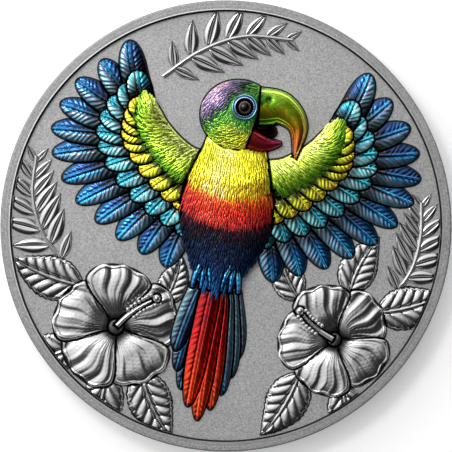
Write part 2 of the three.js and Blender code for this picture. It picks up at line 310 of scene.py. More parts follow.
# %% A round form
def boss(centre, radii, relief, rings, sides, shade=None):
    """A round or oval form. relief(r, x, y) gives the height above the field and the wear."""
    wall_top = 0.975
    r = np.concatenate([np.sin(np.linspace(0, pi / 2, rings - 1)[1:]) * wall_top, [1]])[:, None]
    angle = np.linspace(0, tau, sides, endpoint=False)[None, :]
    r = np.append((r + 0 * angle).ravel(), 0.0)
    x = radii[0] * r * np.append(np.tile(np.cos(angle[0]), rings - 1), 0)
    y = radii[1] * r * np.append(np.tile(np.sin(angle[0]), rings - 1), 0)
    height, wear = relief(r, x, y)
    z = FIELD + height
    wear = np.clip(wear + 0 * z, 0, 1)
    z[r == 1] = FOOT
    wear[r == 1] = 0
    index = np.arange((rings - 1) * sides).reshape(-1, sides)
    after = np.roll(index, -1, 1)
    quads = np.stack([index[:-1], index[1:], after[1:], after[:-1]], -1).reshape(-1, 4)
    fan = np.stack([np.full(sides, index.size), index[0], after[0]], -1)
    floor = index[-1:, ::-1]
    unit = 0.42 + 0.42 * np.stack([x / radii[0], y / radii[1]], -1)
    under = 0.88 + 0.1 * unit[floor.ravel()]
    return Shape(
        points=np.stack([centre[0] + x, centre[1] + y, z], -1),
        faces=[quads, fan, floor],
        corners=np.concatenate([unit[quads.ravel()], unit[fan.ravel()], under]),
        notes={
            "along": r if shade is None else shade(r, x, y),
            "across": np.arctan2(y, x) / pi,
            "barb": np.hypot(x, y),
            "wear": wear,
        },
        outline=circle(centre, radii, sides),
    )


# %% [markdown]
# ## One form over another
# On a die, a form that lies behind another one simply stops where the nearer one starts, with a narrow
# groove between them. Here the farther form is sunk below the field wherever the nearer one covers it. The
# sinking follows the distance to the nearer outline, so the cut is a smooth line, whatever the grid.

# %% Cutting forms back
def distance_outside(outline, x, y):
    """The distance from each point to a closed outline, negative inside it."""
    p = np.stack([x, y], -1)[:, None]
    a, b = outline[None], np.roll(outline, -1, 0)[None]
    span = b - a
    share = np.clip(((p - a) * span).sum(-1) / np.maximum((span**2).sum(-1), 1e-12), 0, 1)
    away = np.sqrt((((a + share[..., None] * span) - p) ** 2).sum(-1).min(1))
    crosses = (a[..., 1] > p[..., 1]) != (b[..., 1] > p[..., 1])
    rise = np.where(span[..., 1] == 0, 1, span[..., 1])
    left_of = p[..., 0] < a[..., 0] + span[..., 0] * (p[..., 1] - a[..., 1]) / rise
    inside = (crosses & left_of).sum(1) % 2 == 1
    return np.where(inside, -away, away)


def sink(points, outlines, groove=GROOVE, slope=SLOPE):
    """Sinks what lies under other forms, and what would lie on the rim. Gives the share of its height that
    each point keeps."""
    x, y = points[:, 0], points[:, 1]
    keep = np.ones(len(points))
    for outline in outlines:
        low, high = outline.min(0) - groove - slope, outline.max(0) + groove + slope
        near = np.flatnonzero((x > low[0]) & (x < high[0]) & (y > low[1]) & (y < high[1]))
        if len(near):
            away = distance_outside(outline, x[near], y[near])
            keep[near] = np.minimum(keep[near], smoothstep(away, groove, groove + slope))
    radius = np.hypot(x, y)
    past = radius - RELIEF_LIMIT
    keep = np.minimum(keep, np.clip(-past / slope, 0, 1))
    points[:, 2] = np.where(points[:, 2] > SUNK, mix(SUNK, points[:, 2], keep), points[:, 2])
    # What reaches too far out is drawn in, so that it stays inside the rim.
    shrink = np.where(past > 0, (RELIEF_LIMIT + 0.1 * past) / np.maximum(radius, 1), 1)
    points[:, :2] *= shrink[:, None]
    return keep


def cut_back(shape, outlines, groove, slope):
    """Sinks a shape. Oxide stays in the lower half of each cut."""
    shape.notes["wear"] *= np.minimum(1, 2 * sink(shape.points, outlines, groove, slope))


# %% [markdown]
# ## From shapes to Blender objects
# One function joins the shapes of a piece into one mesh, in metres, with their numbers as attributes and
# their UV cells side by side. Shading is smooth, apart from edges sharper than the crease angle, so that
# walls stay crisp. Each piece takes its finish and hangs under a root empty, and the solids that it stands
# for are hidden.

# %% Making an object
CREASE = 50  # degrees


def to_mesh(name, shapes, crease=CREASE):
    cells = int(np.ceil(np.sqrt(len(shapes))))
    points, loops, sizes, corners, notes = [], [], [], [], {}
    first = 0
    for k, shape in enumerate(shapes):
        points.append(shape.points)
        for faces in shape.faces:
            loops.append(faces.ravel() + first)
            sizes.append(np.full(len(faces), faces.shape[1]))
        corners.append((np.array([k % cells, k // cells]) + 0.02 + 0.96 * shape.corners) / cells)
        tone = np.full(len(shape.points), rng.random())
        for key, values in {**shape.notes, "tone": tone}.items():
            notes.setdefault(key, []).append(values)
        first += len(shape.points)
    loops, sizes = np.concatenate(loops), np.concatenate(sizes)
    mesh = bpy.data.meshes.new(name)
    mesh.vertices.add(first)
    mesh.vertices.foreach_set("co", (np.concatenate(points) * MM).ravel())
    mesh.loops.add(len(loops))
    mesh.loops.foreach_set("vertex_index", loops)
    mesh.polygons.add(len(sizes))
    mesh.polygons.foreach_set("loop_start", np.cumsum(sizes) - sizes)
    mesh.update(calc_edges=True)
    for key, values in notes.items():
        mesh.attributes.new(key, "FLOAT", "POINT").data.foreach_set("value", np.concatenate(values))
    mesh.uv_layers.new(name="OFBake").uv.foreach_set("vector", np.concatenate(corners).ravel())
    mesh.shade_smooth()
    mesh.set_sharp_from_angle(angle=radians(crease))
    return mesh


def add_object(name, data):
    made = bpy.data.objects.new(name, data)
    bpy.context.scene.collection.objects.link(made)
    return made


def place(name, mesh, finish, slot, *nodes):
    mesh.materials.clear()
    mesh.materials.append(finish)
    piece = add_object(name, mesh)
    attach(piece, "root")
    if nodes:
        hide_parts(*nodes)
    print(f"{name}: {sum(len(p.vertices) - 2 for p in mesh.polygons)} triangles")
    return piece


def make(name, shapes, finish, slot, *nodes, crease=CREASE):
    return place(name, to_mesh(name, shapes, crease), finish, slot, *nodes)


# %% [markdown]
# ## Node helpers
# A finish is a tree of nodes, and so is a Geometry Nodes tree. Writing each link out takes three lines, so
# one helper adds a node and sets or links its inputs by name. The others are short forms of it.

# %% Node helpers
def connect(tree, socket, value):
    if isinstance(value, bpy.types.NodeSocket):
        tree.links.new(value, socket)
    else:
        socket.default_value = value


def node(tree, kind, inputs=(), **settings):
    made = tree.nodes.new(kind)
    for key, value in settings.items():
        setattr(made, key, value)
    for key, value in dict(inputs).items():
        connect(tree, made.inputs[key], value)
    return made


def output(tree, kind, inputs=(), **settings):
    """The first output of a new node."""
    return node(tree, kind, inputs, **settings).outputs[0]


def calc(tree, operation, *values, clamp=False):
    inputs = dict(enumerate(values))
    return output(tree, "ShaderNodeMath", inputs, operation=operation, use_clamp=clamp)


def vector(tree, operation, *values, result="Vector"):
    inputs = dict(enumerate(values))
    return node(tree, "ShaderNodeVectorMath", inputs, operation=operation).outputs[result]


def combine(tree, **axes):
    return output(tree, "ShaderNodeCombineXYZ", axes)


def object_place(tree):
    return node(tree, "ShaderNodeTexCoord").outputs["Object"]


def attribute(tree, name):
    return node(tree, "ShaderNodeAttribute", attribute_name=name).outputs["Fac"]


def ramp(tree, factor, stops):
    """stops holds pairs of a place and a colour or a grey."""
    made = node(tree, "ShaderNodeValToRGB", {"Fac": factor})
    elements = made.color_ramp.elements
    while len(elements) < len(stops):
        elements.new(0.5)
    for element, (position, colour) in zip(elements, stops):
        element.position = position
        grey = isinstance(colour, (int, float))
        element.color = (colour, colour, colour, 1) if grey else (*colour, 1)
    return made.outputs["Color"]


def blend(tree, mode, factor, a, b):
    made = node(tree, "ShaderNodeMix", data_type="RGBA", blend_type=mode)
    for socket, value in zip((made.inputs[0], made.inputs[6], made.inputs[7]), (factor, a, b)):
        connect(tree, socket, value)
    return made.outputs[2]


def noise(tree, size_mm, detail=2.0, roughness=0.5):
    """Noise on Object coordinates, with grains of about that size."""
    inputs = {"Vector": object_place(tree), "Scale": 1 / (size_mm * MM)}
    return output(tree, "ShaderNodeTexNoise", {**inputs, "Detail": detail, "Roughness": roughness})


def bumped(tree, height, depth_mm, strength=1.0):
    inputs = {"Height": height, "Distance": depth_mm * MM, "Strength": strength}
    return output(tree, "ShaderNodeBump", inputs)


def new_finish(name):
    finish = bpy.data.materials.new(name)
    finish.use_nodes = True
    return finish, finish.node_tree, finish.node_tree.nodes["Principled BSDF"]


def set_inputs(tree, shader, **values):
    for key, value in values.items():
        connect(tree, shader.inputs[key.replace("_", " ")], value)


# %% [markdown]
# ## Silver
# Antiqued silver has two looks. The field and the rim are blasted with fine beads: an even grain that
# scatters light. The relief is polished like a mirror, but the oxide stays in its recesses, so each form
# runs from black in its grooves to bright on its crest. The wear number that each form carries drives that
# change, and a fine noise breaks it up, because the oxide is wiped off by hand.

# %% Silver finishes
def blasted_silver():
    finish, tree, shader = new_finish("blasted_silver")
    grain = noise(tree, 0.14, detail=3, roughness=0.75)
    cloud = noise(tree, 5, detail=2)
    worn = attribute(tree, "wear")
    base = ramp(tree, grain, [(0.32, 0.25), (0.68, 0.66)])
    base = blend(tree, "MULTIPLY", 0.3, base, ramp(tree, cloud, [(0.3, 0.75), (0.7, 1.0)]))
    # The rim is turned, so fine lines run round it.
    flat = vector(tree, "MULTIPLY", object_place(tree), (1, 1, 0))
    radius = vector(tree, "LENGTH", flat, result="Value")
    lines = output(tree, "ShaderNodeTexNoise", {"W": radius, "Scale": 1 / (0.14 * MM)}, noise_dimensions="1D")
    on_rim = calc(tree, "GREATER_THAN", radius, INNER_RIM * MM)
    lines = ramp(tree, lines, [(0.35, 0.55), (0.6, 0.9)])
    base = blend(tree, "MULTIPLY", calc(tree, "MULTIPLY", on_rim, 0.7), base, lines)
    oxide = blend(tree, "MIX", worn, (0.01, 0.01, 0.011, 1), base)
    # Wear above 1 is a polished edge.
    bright = calc(tree, "SUBTRACT", worn, 1.0, clamp=True)
    colour = blend(tree, "MIX", bright, oxide, (0.9, 0.9, 0.9, 1))
    rough = calc(tree, "MULTIPLY_ADD", bright, -0.25, calc(tree, "MULTIPLY_ADD", grain, 0.2, 0.4))
    grainy = bumped(tree, grain, 0.03, 0.7)
    set_inputs(tree, shader, Base_Color=colour, Metallic=1.0, Roughness=rough, Normal=grainy)
    return finish


def polished_silver():
    finish, tree, shader = new_finish("polished_silver")
    smudge = noise(tree, 0.3, detail=4, roughness=0.65)
    worn = calc(tree, "MULTIPLY_ADD", calc(tree, "SUBTRACT", smudge, 0.5), 0.3, attribute(tree, "wear"))
    colour = ramp(tree, worn, [(0.0, 0.004), (0.3, 0.04), (0.6, 0.32), (0.85, 0.5)])
    polish = ramp(tree, worn, [(0.2, 0.5), (0.7, 0.2)])
    dents = bumped(tree, noise(tree, 0.12, detail=2), 0.006, 0.5)
    set_inputs(tree, shader, Base_Color=colour, Metallic=1.0, Roughness=polish, Normal=dents)
    return finish


def black_oxide():
    finish, tree, shader = new_finish("black_oxide")
    colour = ramp(tree, noise(tree, 0.2, detail=3), [(0.3, 0.004), (0.7, 0.014)])
    set_inputs(tree, shader, Base_Color=colour, Metallic=0.6, Roughness=0.5)
    return finish


BLASTED, POLISHED, OXIDE = blasted_silver(), polished_silver(), black_oxide()
print("silver finishes:", BLASTED.name, POLISHED.name, OXIDE.name)

# %% [markdown]
# ## The blank
# The blank is a disc with a narrow rim on both sides. All of its details are rings: the smooth rounded
# edge, the flat rim, a dark groove inside the rim and a thin wire that frames the field. So one profile is
# turned about the middle, as on a lathe. The wear is 0 in the groove, where the oxide stays.

# %% The blank
BLANK_PROFILE = [
    # radius, height, wear
    # the field
    (0, FIELD, 1), (8, FIELD, 1), (16, FIELD, 1), (21, FIELD, 1), (INNER_RIM - 0.45, FIELD, 1),
    # the dark groove
    (INNER_RIM - 0.23, FIELD, 0.9), (INNER_RIM - 0.21, FIELD - 0.02, 0.2),
    (INNER_RIM - 0.19, FIELD - 0.1, 0), (INNER_RIM - 0.13, FIELD - 0.1, 0),
    (INNER_RIM - 0.1, RIM_TOP - 0.2, 0), (INNER_RIM - 0.06, RIM_TOP - 0.03, 0),
    # the wire and the flat of the rim
    (INNER_RIM - 0.03, RIM_TOP - 0.01, 1), (INNER_RIM, RIM_TOP - 0.01, 1.3),
    (INNER_RIM + 0.07, RIM_FLAT, 1.3), (INNER_RIM + 0.1, RIM_FLAT, 1),
    (COIN_RADIUS - 0.2, RIM_FLAT, 1), (COIN_RADIUS - 0.13, RIM_FLAT, 1),
    # the edge
    (COIN_RADIUS - 0.04, RIM_TOP - 0.08, 0.7), (COIN_RADIUS, RIM_TOP - 0.2, 1),
    (COIN_RADIUS, RIM_TOP / 2, 1), (COIN_RADIUS, 0.2, 1), (COIN_RADIUS - 0.04, 0.08, 1),
    # the rim and the recess of the back
    (COIN_RADIUS - 0.15, 0, 1), (INNER_RIM + 0.05, 0, 1), (INNER_RIM - 0.1, 0.1, 0.2),
    (INNER_RIM - 0.25, REVERSE_FIELD, 0), (INNER_RIM - 0.45, REVERSE_FIELD, 1),
    (16, REVERSE_FIELD, 1), (8, REVERSE_FIELD, 1), (0, REVERSE_FIELD, 1),
]
OBVERSE_RINGS = 21  # how many rings of the profile the upper half of the UV map takes


def turned(profile, sides=288):
    radius, height, wear = np.array(profile, float).T
    angle = np.linspace(0, tau, sides, endpoint=False)
    around = np.stack([np.cos(angle), np.sin(angle)], -1)
    flat = radius[1:-1, None, None] * around
    ring = np.concatenate([flat, height[1:-1, None, None] + 0 * around[..., :1]], -1)
    points = np.concatenate([ring.reshape(-1, 3), [[0, 0, height[0]], [0, 0, height[-1]]]])
    index = np.arange((len(profile) - 2) * sides).reshape(-1, sides)
    after = np.roll(index, -1, 1)
    quads = np.stack([index[:-1], index[1:], after[1:], after[:-1]], -1)
    top = np.stack([np.full(sides, len(points) - 2), index[0], after[0]], -1)
    bottom = np.stack([np.full(sides, len(points) - 1), after[-1], index[-1]], -1)
    # Each half is unrolled into a disc of its own, so that no seam is needed.
    run = np.concatenate([[0], np.cumsum(np.hypot(np.diff(radius), np.diff(height)))])[1:-1]

    def disc(reach, middle):
        flat = 0.24 * (reach / reach.max())[:, None, None] * around + middle
        return np.concatenate([flat.reshape(-1, 2), [middle, middle]])

    upper = disc(np.minimum(run, run[OBVERSE_RINGS]), (0.25, 0.5))
    lower = disc(np.minimum(run[-1] - run, run[-1] - run[OBVERSE_RINGS - 1]), (0.75, 0.5))
    parts = [quads[:OBVERSE_RINGS].reshape(-1, 4), quads[OBVERSE_RINGS:].reshape(-1, 4), top, bottom]
    corners = [disc_uv[part.ravel()] for disc_uv, part in zip((upper, lower, upper, lower), parts)]
    return Shape(
        points=points, faces=parts, corners=np.concatenate(corners),
        notes={"wear": np.append(np.repeat(wear[1:-1], sides), [wear[0], wear[-1]])},
    )


make("coin_blank", [turned(BLANK_PROFILE)], BLASTED, "silver", "coin", crease=25)

# %% [markdown]
# ## Lacquer
# Coin lacquer is clear and coloured, over struck metal that shines through it. A metallic base colour under
# a glossy coat gives that. One ramp colours a form from root to tip. A second one paints light across it:
# painted shade at the edge that lies under its neighbour, and a painted sheen and highlight towards the edge
# that rides over it, which gives blue plumage its cyan and pink sheen. On the body it paints a highlight
# towards the left side and shade on the right. Fine streaks follow the barbs, and the grooves stay dark,
# where the oxide lies under the lacquer. Painted shade also darkens the roots of feathers under others.

# %% Lacquer finish
def lacquer(
    name, stops, painted_sheen=None, painted_sheen_share=0.7, drift=0.12, metallic=0.9, roughness=0.22, streaks=0.6,
    coat=0.6, coat_ior=1.45,
):
    """stops colours from root to tip. The second ramp paints shade at the covered edge, light at the free
    one.
    """
    finish, tree, shader = new_finish(f"{name}_lacquer")
    tone, barb, across = (attribute(tree, key) for key in ("tone", "barb", "across"))
    cloud = calc(tree, "SUBTRACT", noise(tree, 1.1, detail=3, roughness=0.6), 0.5)
    own_tone = calc(tree, "SUBTRACT", tone, 0.5)

    def strayed(share, by_cloud, by_tone):
        """The share of the way along a ramp, moved a little by the cloud and by the form's own tone."""
        moved = calc(tree, "MULTIPLY_ADD", cloud, by_cloud, share)
        return calc(tree, "MULTIPLY_ADD", own_tone, by_tone, moved)

    colour = ramp(tree, strayed(attribute(tree, "along"), 3 * drift, drift), stops)
    # The second ramp paints light and shade across the form.
    if painted_sheen is not None:
        from_edge = strayed(calc(tree, "MULTIPLY_ADD", across, 0.5, 0.5), 0.5, 0.2)
        colour = blend(tree, "MIX", painted_sheen_share, colour, ramp(tree, from_edge, painted_sheen))
    lines = combine(tree, X=calc(tree, "MULTIPLY", barb, 3.4), Y=across, Z=calc(tree, "MULTIPLY", tone, 60.0))
    hair = output(tree, "ShaderNodeTexNoise", {"Vector": lines, "Scale": 1.0, "Detail": 2.0})
    colour = blend(tree, "MULTIPLY", streaks, colour, ramp(tree, hair, [(0.36, 0.25), (0.56, 1.0)]))
    # Oxide darkens the grooves, and painted shade darkens the parts of feathers that lie under others.
    oxide = ramp(tree, attribute(tree, "wear"), [(0.0, 0.02), (0.3, 0.3), (0.65, 1.0)])
    set_inputs(
        tree, shader, Base_Color=blend(tree, "MULTIPLY", 1.0, colour, oxide), Metallic=metallic,
        Roughness=calc(tree, "MULTIPLY_ADD", hair, 0.12, roughness - 0.06), Coat_Weight=coat,
        Coat_Roughness=0.05, Coat_IOR=coat_ior, Normal=bumped(tree, hair, 0.015, 0.5),
    )
    return finish


# %% [markdown]
# ## The colours
# A ramp is a list of stops: a share of the way and a colour. The greens and yellows run warm towards the
# tip, as a parrot's do. The blues share one painted sheen, which runs from painted shade at the covered
# edge through cyan and a touch of pink to a painted highlight at the free edge. The cheek's ramp runs
# outwards from the eye, so its narrow bright stops are the rings round it.

# %% The lacquers
# Painted light across a blue feather: shade at its covered edge, a cyan and pink sheen, a pale highlight at
# its free edge.
BLUE_PAINTED_SHEEN = [
    (0.0, (0.0, 0.004, 0.015)), (0.3, (0.0, 0.03, 0.12)), (0.48, (0.0, 0.16, 0.42)),
    (0.6, (0.02, 0.45, 0.75)), (0.74, (0.5, 0.45, 0.55)), (0.86, (0.2, 0.75, 0.9)), (1.0, (0.7, 1.0, 1.0)),
]
# The same painted shade, sheen and highlight for the teal coverts.
TEAL_PAINTED_SHEEN = [
    (0.0, (0.0, 0.02, 0.03)), (0.35, (0.0, 0.15, 0.25)), (0.55, (0.0, 0.4, 0.5)), (0.7, (0.4, 0.5, 0.55)),
    (0.85, (0.2, 0.85, 0.85)), (1.0, (0.7, 1.0, 0.95)),
]
LIME = lacquer("lime", [
    (0.0, (0.02, 0.22, 0.01)), (0.3, (0.25, 0.62, 0.02)), (0.6, (0.62, 0.9, 0.05)), (1.0, (0.85, 0.95, 0.25)),
])
FACE = lacquer("face", [
    (0.0, (0.95, 0.9, 0.05)), (0.3, (0.65, 0.9, 0.07)), (0.5, (0.12, 0.5, 0.04)), (0.62, (0.01, 0.02, 0.03)),
    (0.78, (0.3, 0.22, 0.4)), (0.92, (0.75, 0.4, 0.5)), (1.0, (0.3, 0.5, 0.7)),
])
# The second ramp paints a highlight towards the left of the body and shade on its right.
YELLOW = lacquer("yellow", [
    (0.0, (0.95, 0.95, 0.03)), (0.6, (1.0, 0.85, 0.01)), (1.0, (1.0, 0.35, 0.0)),
], painted_sheen=[
    (0.0, (0.3, 0.45, 0.01)), (0.16, (0.9, 0.95, 0.05)), (0.32, (1.0, 1.0, 0.45)), (0.55, (1.0, 0.95, 0.03)),
    (0.85, (0.5, 0.4, 0.0)), (1.0, (0.12, 0.12, 0.0)),
], painted_sheen_share=0.5, streaks=0.35)
COVERT_YELLOW = lacquer("covert", [
    (0.1, (0.2, 0.3, 0.0)), (0.6, (0.75, 0.8, 0.02)), (0.85, (0.95, 0.85, 0.05)), (1.0, (0.95, 0.6, 0.02)),
])
# The second ramp paints a highlight towards the left of the band and shade on its right.
RED = lacquer("red", [
    (0.0, (1.0, 0.24, 0.0)), (0.4, (0.85, 0.02, 0.0)), (1.0, (0.3, 0.0, 0.01)),
], painted_sheen=[
    (0.0, (0.3, 0.0, 0.02)), (0.3, (1.0, 0.12, 0.05)), (0.6, (0.9, 0.02, 0.0)), (1.0, (0.12, 0.0, 0.0)),
], painted_sheen_share=0.35, streaks=0.4)
TAIL_RED = lacquer("tail_red", [
    (0.0, (0.25, 0.0, 0.01)), (0.5, (0.65, 0.0, 0.0)), (1.0, (0.95, 0.08, 0.0)),
])
CRIMSON = lacquer("crimson", [(0.0, (0.6, 0.03, 0.03)), (1.0, (0.25, 0.0, 0.06))], streaks=0.2)
TEAL = lacquer("teal", [
    (0.0, (0.0, 0.04, 0.06)), (0.6, (0.01, 0.25, 0.38)), (1.0, (0.1, 0.75, 0.85)),
], painted_sheen=TEAL_PAINTED_SHEEN)
BLUE = lacquer("blue", [
    (0.4, (0.0, 0.006, 0.04)), (0.75, (0.0, 0.07, 0.32)), (1.0, (0.03, 0.42, 0.85)),
], painted_sheen=BLUE_PAINTED_SHEEN, painted_sheen_share=0.6)
NAVY = lacquer("navy", [
    (0.4, (0.0, 0.0, 0.01)), (0.75, (0.0, 0.02, 0.12)), (1.0, (0.02, 0.16, 0.45)),
], painted_sheen=BLUE_PAINTED_SHEEN, painted_sheen_share=0.5)
BELLY = lacquer("belly", [
    (0.0, (0.05, 0.0, 0.01)), (0.2, (0.002, 0.003, 0.012)), (0.6, (0.0, 0.02, 0.09)), (1.0, (0.0, 0.1, 0.3)),
], coat=0.25)
BLACK = lacquer("black", [
    (0.0, (0.004, 0.005, 0.012)), (1.0, (0.005, 0.03, 0.1)),
], painted_sheen=BLUE_PAINTED_SHEEN, painted_sheen_share=0.25)
CYAN = lacquer("cyan", [
    (0.0, (0.15, 0.7, 0.95)), (0.6, (0.02, 0.3, 0.65)), (1.0, (0.0, 0.05, 0.3)),
], streaks=0.2)
CHEEK = lacquer("cheek", [
    (0.35, (0.0, 0.0, 0.01)), (0.39, (0.0, 0.02, 0.08)), (0.42, (0.75, 0.95, 1.0)), (0.445, (0.0, 0.12, 0.4)),
    (0.51, (0.0, 0.08, 0.25)), (0.535, (0.35, 0.85, 0.8)), (0.56, (0.0, 0.08, 0.03)),
    (0.72, (0.08, 0.42, 0.03)), (0.95, (0.6, 0.9, 0.1)),
], drift=0.0, streaks=0.3)
EYE = lacquer("eye", [
    (0.0, (0.002, 0.001, 0.002)), (0.45, (0.01, 0.004, 0.005)), (0.7, (0.05, 0.018, 0.02)),
    (0.88, (0.0, 0.0, 0.004)),
], drift=0.0, metallic=0.7, roughness=0.12, streaks=0.0, coat=1.0, coat_ior=1.35)
# Across the bill, the second ramp gives its coloured bands, with a painted highlight along the ridge and
# painted shade towards its lower edge.
BILL = lacquer("bill", [
    (0.05, (0.004, 0.004, 0.008)), (0.08, (0.05, 0.25, 0.0)), (0.18, (0.25, 0.75, 0.01)),
    (0.5, (0.7, 1.0, 0.03)), (0.68, (1.0, 0.5, 0.01)), (0.82, (0.9, 0.04, 0.02)), (1.0, (0.45, 0.0, 0.06)),
], painted_sheen=[
    (0.0, (0.4, 0.75, 0.05)), (0.2, (0.8, 1.0, 0.2)), (0.3, (0.05, 0.2, 0.0)), (0.46, (0.03, 0.12, 0.0)),
    (0.6, (0.95, 0.7, 0.01)), (0.74, (0.9, 0.25, 0.0)), (0.9, (0.1, 0.3, 0.0)),
], painted_sheen_share=0.45, streaks=0.2)
LINING = lacquer("tongue", [(0.0, (0.002, 0.002, 0.003)), (1.0, (0.02, 0.0, 0.0))], streaks=0.2, coat=0.2)
print("lacquers:", sum(m.name.endswith("lacquer") for m in bpy.data.materials))

# %% [markdown]
# ## The parrot's drawing
# The parrot flies with its head to the right and leans a little. Its parts are drawn upright and then
# turned. Zones are struck one over another, from the eye outwards, and each one is cut back under those
# before it, so a list keeps the outlines of what is done.

# %% The parrot's drawing
BIRD_TILT = radians(-8)
FLIGHT_FEATHERS = 12
PRIMARIES = 6
HEAD_CENTRE = np.array([-0.4, 12.4])
HEAD_RADII = (4.2, 3.9)
DOME = 1.8  # how high the head and the body stand
BODY_TOP, NECK, BODY_BOTTOM = 12, 9.7, -6
BODY_HALF_WIDTHS = [3.4, 3.5, 4.4, 5.1, 5, 3.9, 2.4]
TAIL_FEATHERS = 9
TAIL_FAN = radians(15)
WING_ROOTS = [[10.4, 11.4], [9.5, 9.6], [8.4, 8.2], [5.8, 5.2], [3, 3]]
WING_TIPS = [[13.4, 18.9], [19, 13.2], [20.6, 7], [17.6, 1.2], [12.2, -2.8], [6, -5.4]]
WING_ARM = [[2.4, 5.4], [6, 6.6], [9.3, 9.6], [11, 13]]
zone_outlines = []


def on_coin(x, y):
    c, s = cos(BIRD_TILT), sin(BIRD_TILT)
    return np.array([c * x - s * y, s * x + c * y])


def bird_spline(points, side=1):
    return spline([on_coin(side * x, y) for x, y in points])


def head_spline(points):
    return spline([on_coin(*(HEAD_CENTRE + p)) for p in points])


def strike(name, shapes, finish, slot, node_name, groove=GROOVE, slope=SLOPE, lined=True, crease=CREASE):
    """Cuts the shapes back under what is struck already and makes them one zone."""
    for shape in shapes:
        cut_back(shape, zone_outlines, groove, slope)
        if lined:
            zone_outlines.append(shape.outline)
    return make(name, shapes, finish, slot, node_name, crease=crease)


# %% [markdown]
# ## The relief of the head
# The eye is a ball in a ring. The cheek round it lies flush with the head, so its height follows the
# head's dome. The hooked bill has a ridge along its top, a dark cutting edge below and a nostril near its
# root. Each of these is a bell curve added to the dome or taken from it.

# %% The relief of the head
HEAD_MIDDLE = on_coin(*HEAD_CENTRE)
EYE_PLACE = on_coin(0.6, 0.9)  # from the middle of the head
CHEEK_PLACE = on_coin(1.0, 0.3)
EYE_RADIUS = 0.85
EYE_TOP, EYE_CAP = 1.95, 0.5  # the height of the eye, and of the part of the ball that shows
EYE_RINGS = 1.05, 1.33


def head_height(x, y):
    return DOME * domed(np.hypot(x / HEAD_RADII[0], y / HEAD_RADII[1]), 0.45)


def eye_relief(r, x, y):
    """The top of a ball."""
    ball = (EYE_RADIUS**2 + EYE_CAP**2) / (2 * EYE_CAP)
    return EYE_TOP - ball + np.sqrt(ball**2 - (r * EYE_RADIUS) ** 2), 1 + 0 * r


def from_eye(x, y):
    """How far a point of the cheek is from the eye, in millimetres."""
    away = CHEEK_PLACE - EYE_PLACE
    return np.hypot(x + away[0], y + away[1])


def cheek_relief(r, x, y):
    rings = sum(bell(from_eye(x, y), ring, 0.06) for ring in EYE_RINGS)
    return head_height(*(CHEEK_PLACE[:, None] + [x, y])) + 0.04 * (1 - r**4) + 0.06 * rings, 1 + 0 * r


def cheek_shade(r, x, y):
    return np.clip(from_eye(x, y) / 2.5, 0, 1)


def head_relief(r, x, y):
    return head_height(x, y), 1 - 0.9 * smoothstep(r, 0.96, 1) * smoothstep(y, -3.3, -2.6)


def head_shade(r, x, y):
    """From the yellow throat through the green face to the violet crown and nape."""
    return np.clip(0.42 + (0.75 * y - 0.6 * x) / 7.5, 0, 1)


def bill_relief(rise, tip, side):
    def relief(t, v, edge, along, across):
        v = side * v
        nostril = bell(t, 0.15, 0.03) * bell(v, 0.35, 0.13) if side > 0 else 0
        groove = bell(v, -0.7, 0.05)
        ridge = bell(v, 0.72, 0.12)
        height = mix(rise, tip, t) * domed(v, 0.4) + 0.09 * ridge - 0.07 * groove - 0.2 * nostril
        return height, 1 - 0.75 * groove - nostril - smoothstep(edge, 0.95, 1)
    return relief


def tongue_relief(t, v, edge, along, side):
    return mix(1.4, 0.9, t) * domed(edge, 0.6), 1 + 0 * v


# %% [markdown]
# ## Striking the head
# The head's zones are struck from the nearest to the farthest: eye, bill, tongue, cheek and head. The cheek
# adds no outline, so that the head runs on below it and no groove shows between the two.

# %% Striking the head
eye = boss(HEAD_MIDDLE + EYE_PLACE, (EYE_RADIUS, EYE_RADIUS), eye_relief, 30, 64)
strike("eye_bead", [eye], EYE, "lacquer_black", "eye")
upper_bill = strip(
    head_spline([[2.2, 1.2], [4.8, 1.3], [6.8, -0.5], [6.9, -4.1]]), lambda t: mix(2.2, 0.14, t**1.5),
    bill_relief(1.75, 0.8, 1), 90, columns(51), flip=-1,
)
strike("upper_bill", [upper_bill], BILL, "lacquer_lime", "bill_upper")
lower_bill = strip(
    head_spline([[1.7, -2.4], [3.5, -2.8], [5.2, -2.5]]), lambda t: mix(1.2, 0.2, t**1.5),
    bill_relief(1.4, 0.8, -1), 60, columns(31),
)
strike("lower_bill", [lower_bill], CRIMSON, "lacquer_crimson", "bill_lower")
tongue = strip(
    head_spline([[2.0, -0.9], [3.4, -1.2], [4.5, -1.6]]), lambda t: 0.85 * round_tip(t, 0.4),
    tongue_relief, 30, columns(21), tip=0.4,
)
strike("tongue", [tongue], LINING, "lacquer_black", "head", groove=0.02, slope=0.1)
cheek_shape = boss(HEAD_MIDDLE + CHEEK_PLACE, (1.9, 2.2), cheek_relief, 60, 180, cheek_shade)
cheek = strike("cheek_patch", [cheek_shape], CHEEK, "lacquer_cyan", "cheek", lined=False)
head_shape = boss(HEAD_MIDDLE, HEAD_RADII, head_relief, 50, 180, head_shade)
head = strike("head_dome", [head_shape], FACE, "lacquer_green", "head")

# %% [markdown]
# ## Feet and body
# The feet are tucked against the tail, three toes each, with a row of scales across every toe. The body is
# one long dome in three colours. Its zones meet in curved lines, like the edge of a bib.

# %% Feet and body
def toe_relief(t, v, edge, along, side):
    scale = np.abs(np.sin(pi * along / 0.6))
    return 1.5 * domed(edge, 0.75) + 0.03 * scale, 0.6 + 0.4 * scale - 0.6 * smoothstep(edge, 0.8, 1)


def toes(x):
    curves = [
        bowed(on_coin(x + 0.25 * spread, -4.2), on_coin(x + 0.95 * spread, -7.2), 0.1 * spread)
        for spread in (-1, 0, 1)
    ]
    return [strip(curve, taper(0.42, 0.22), toe_relief, 50, columns(13)) for curve in curves]


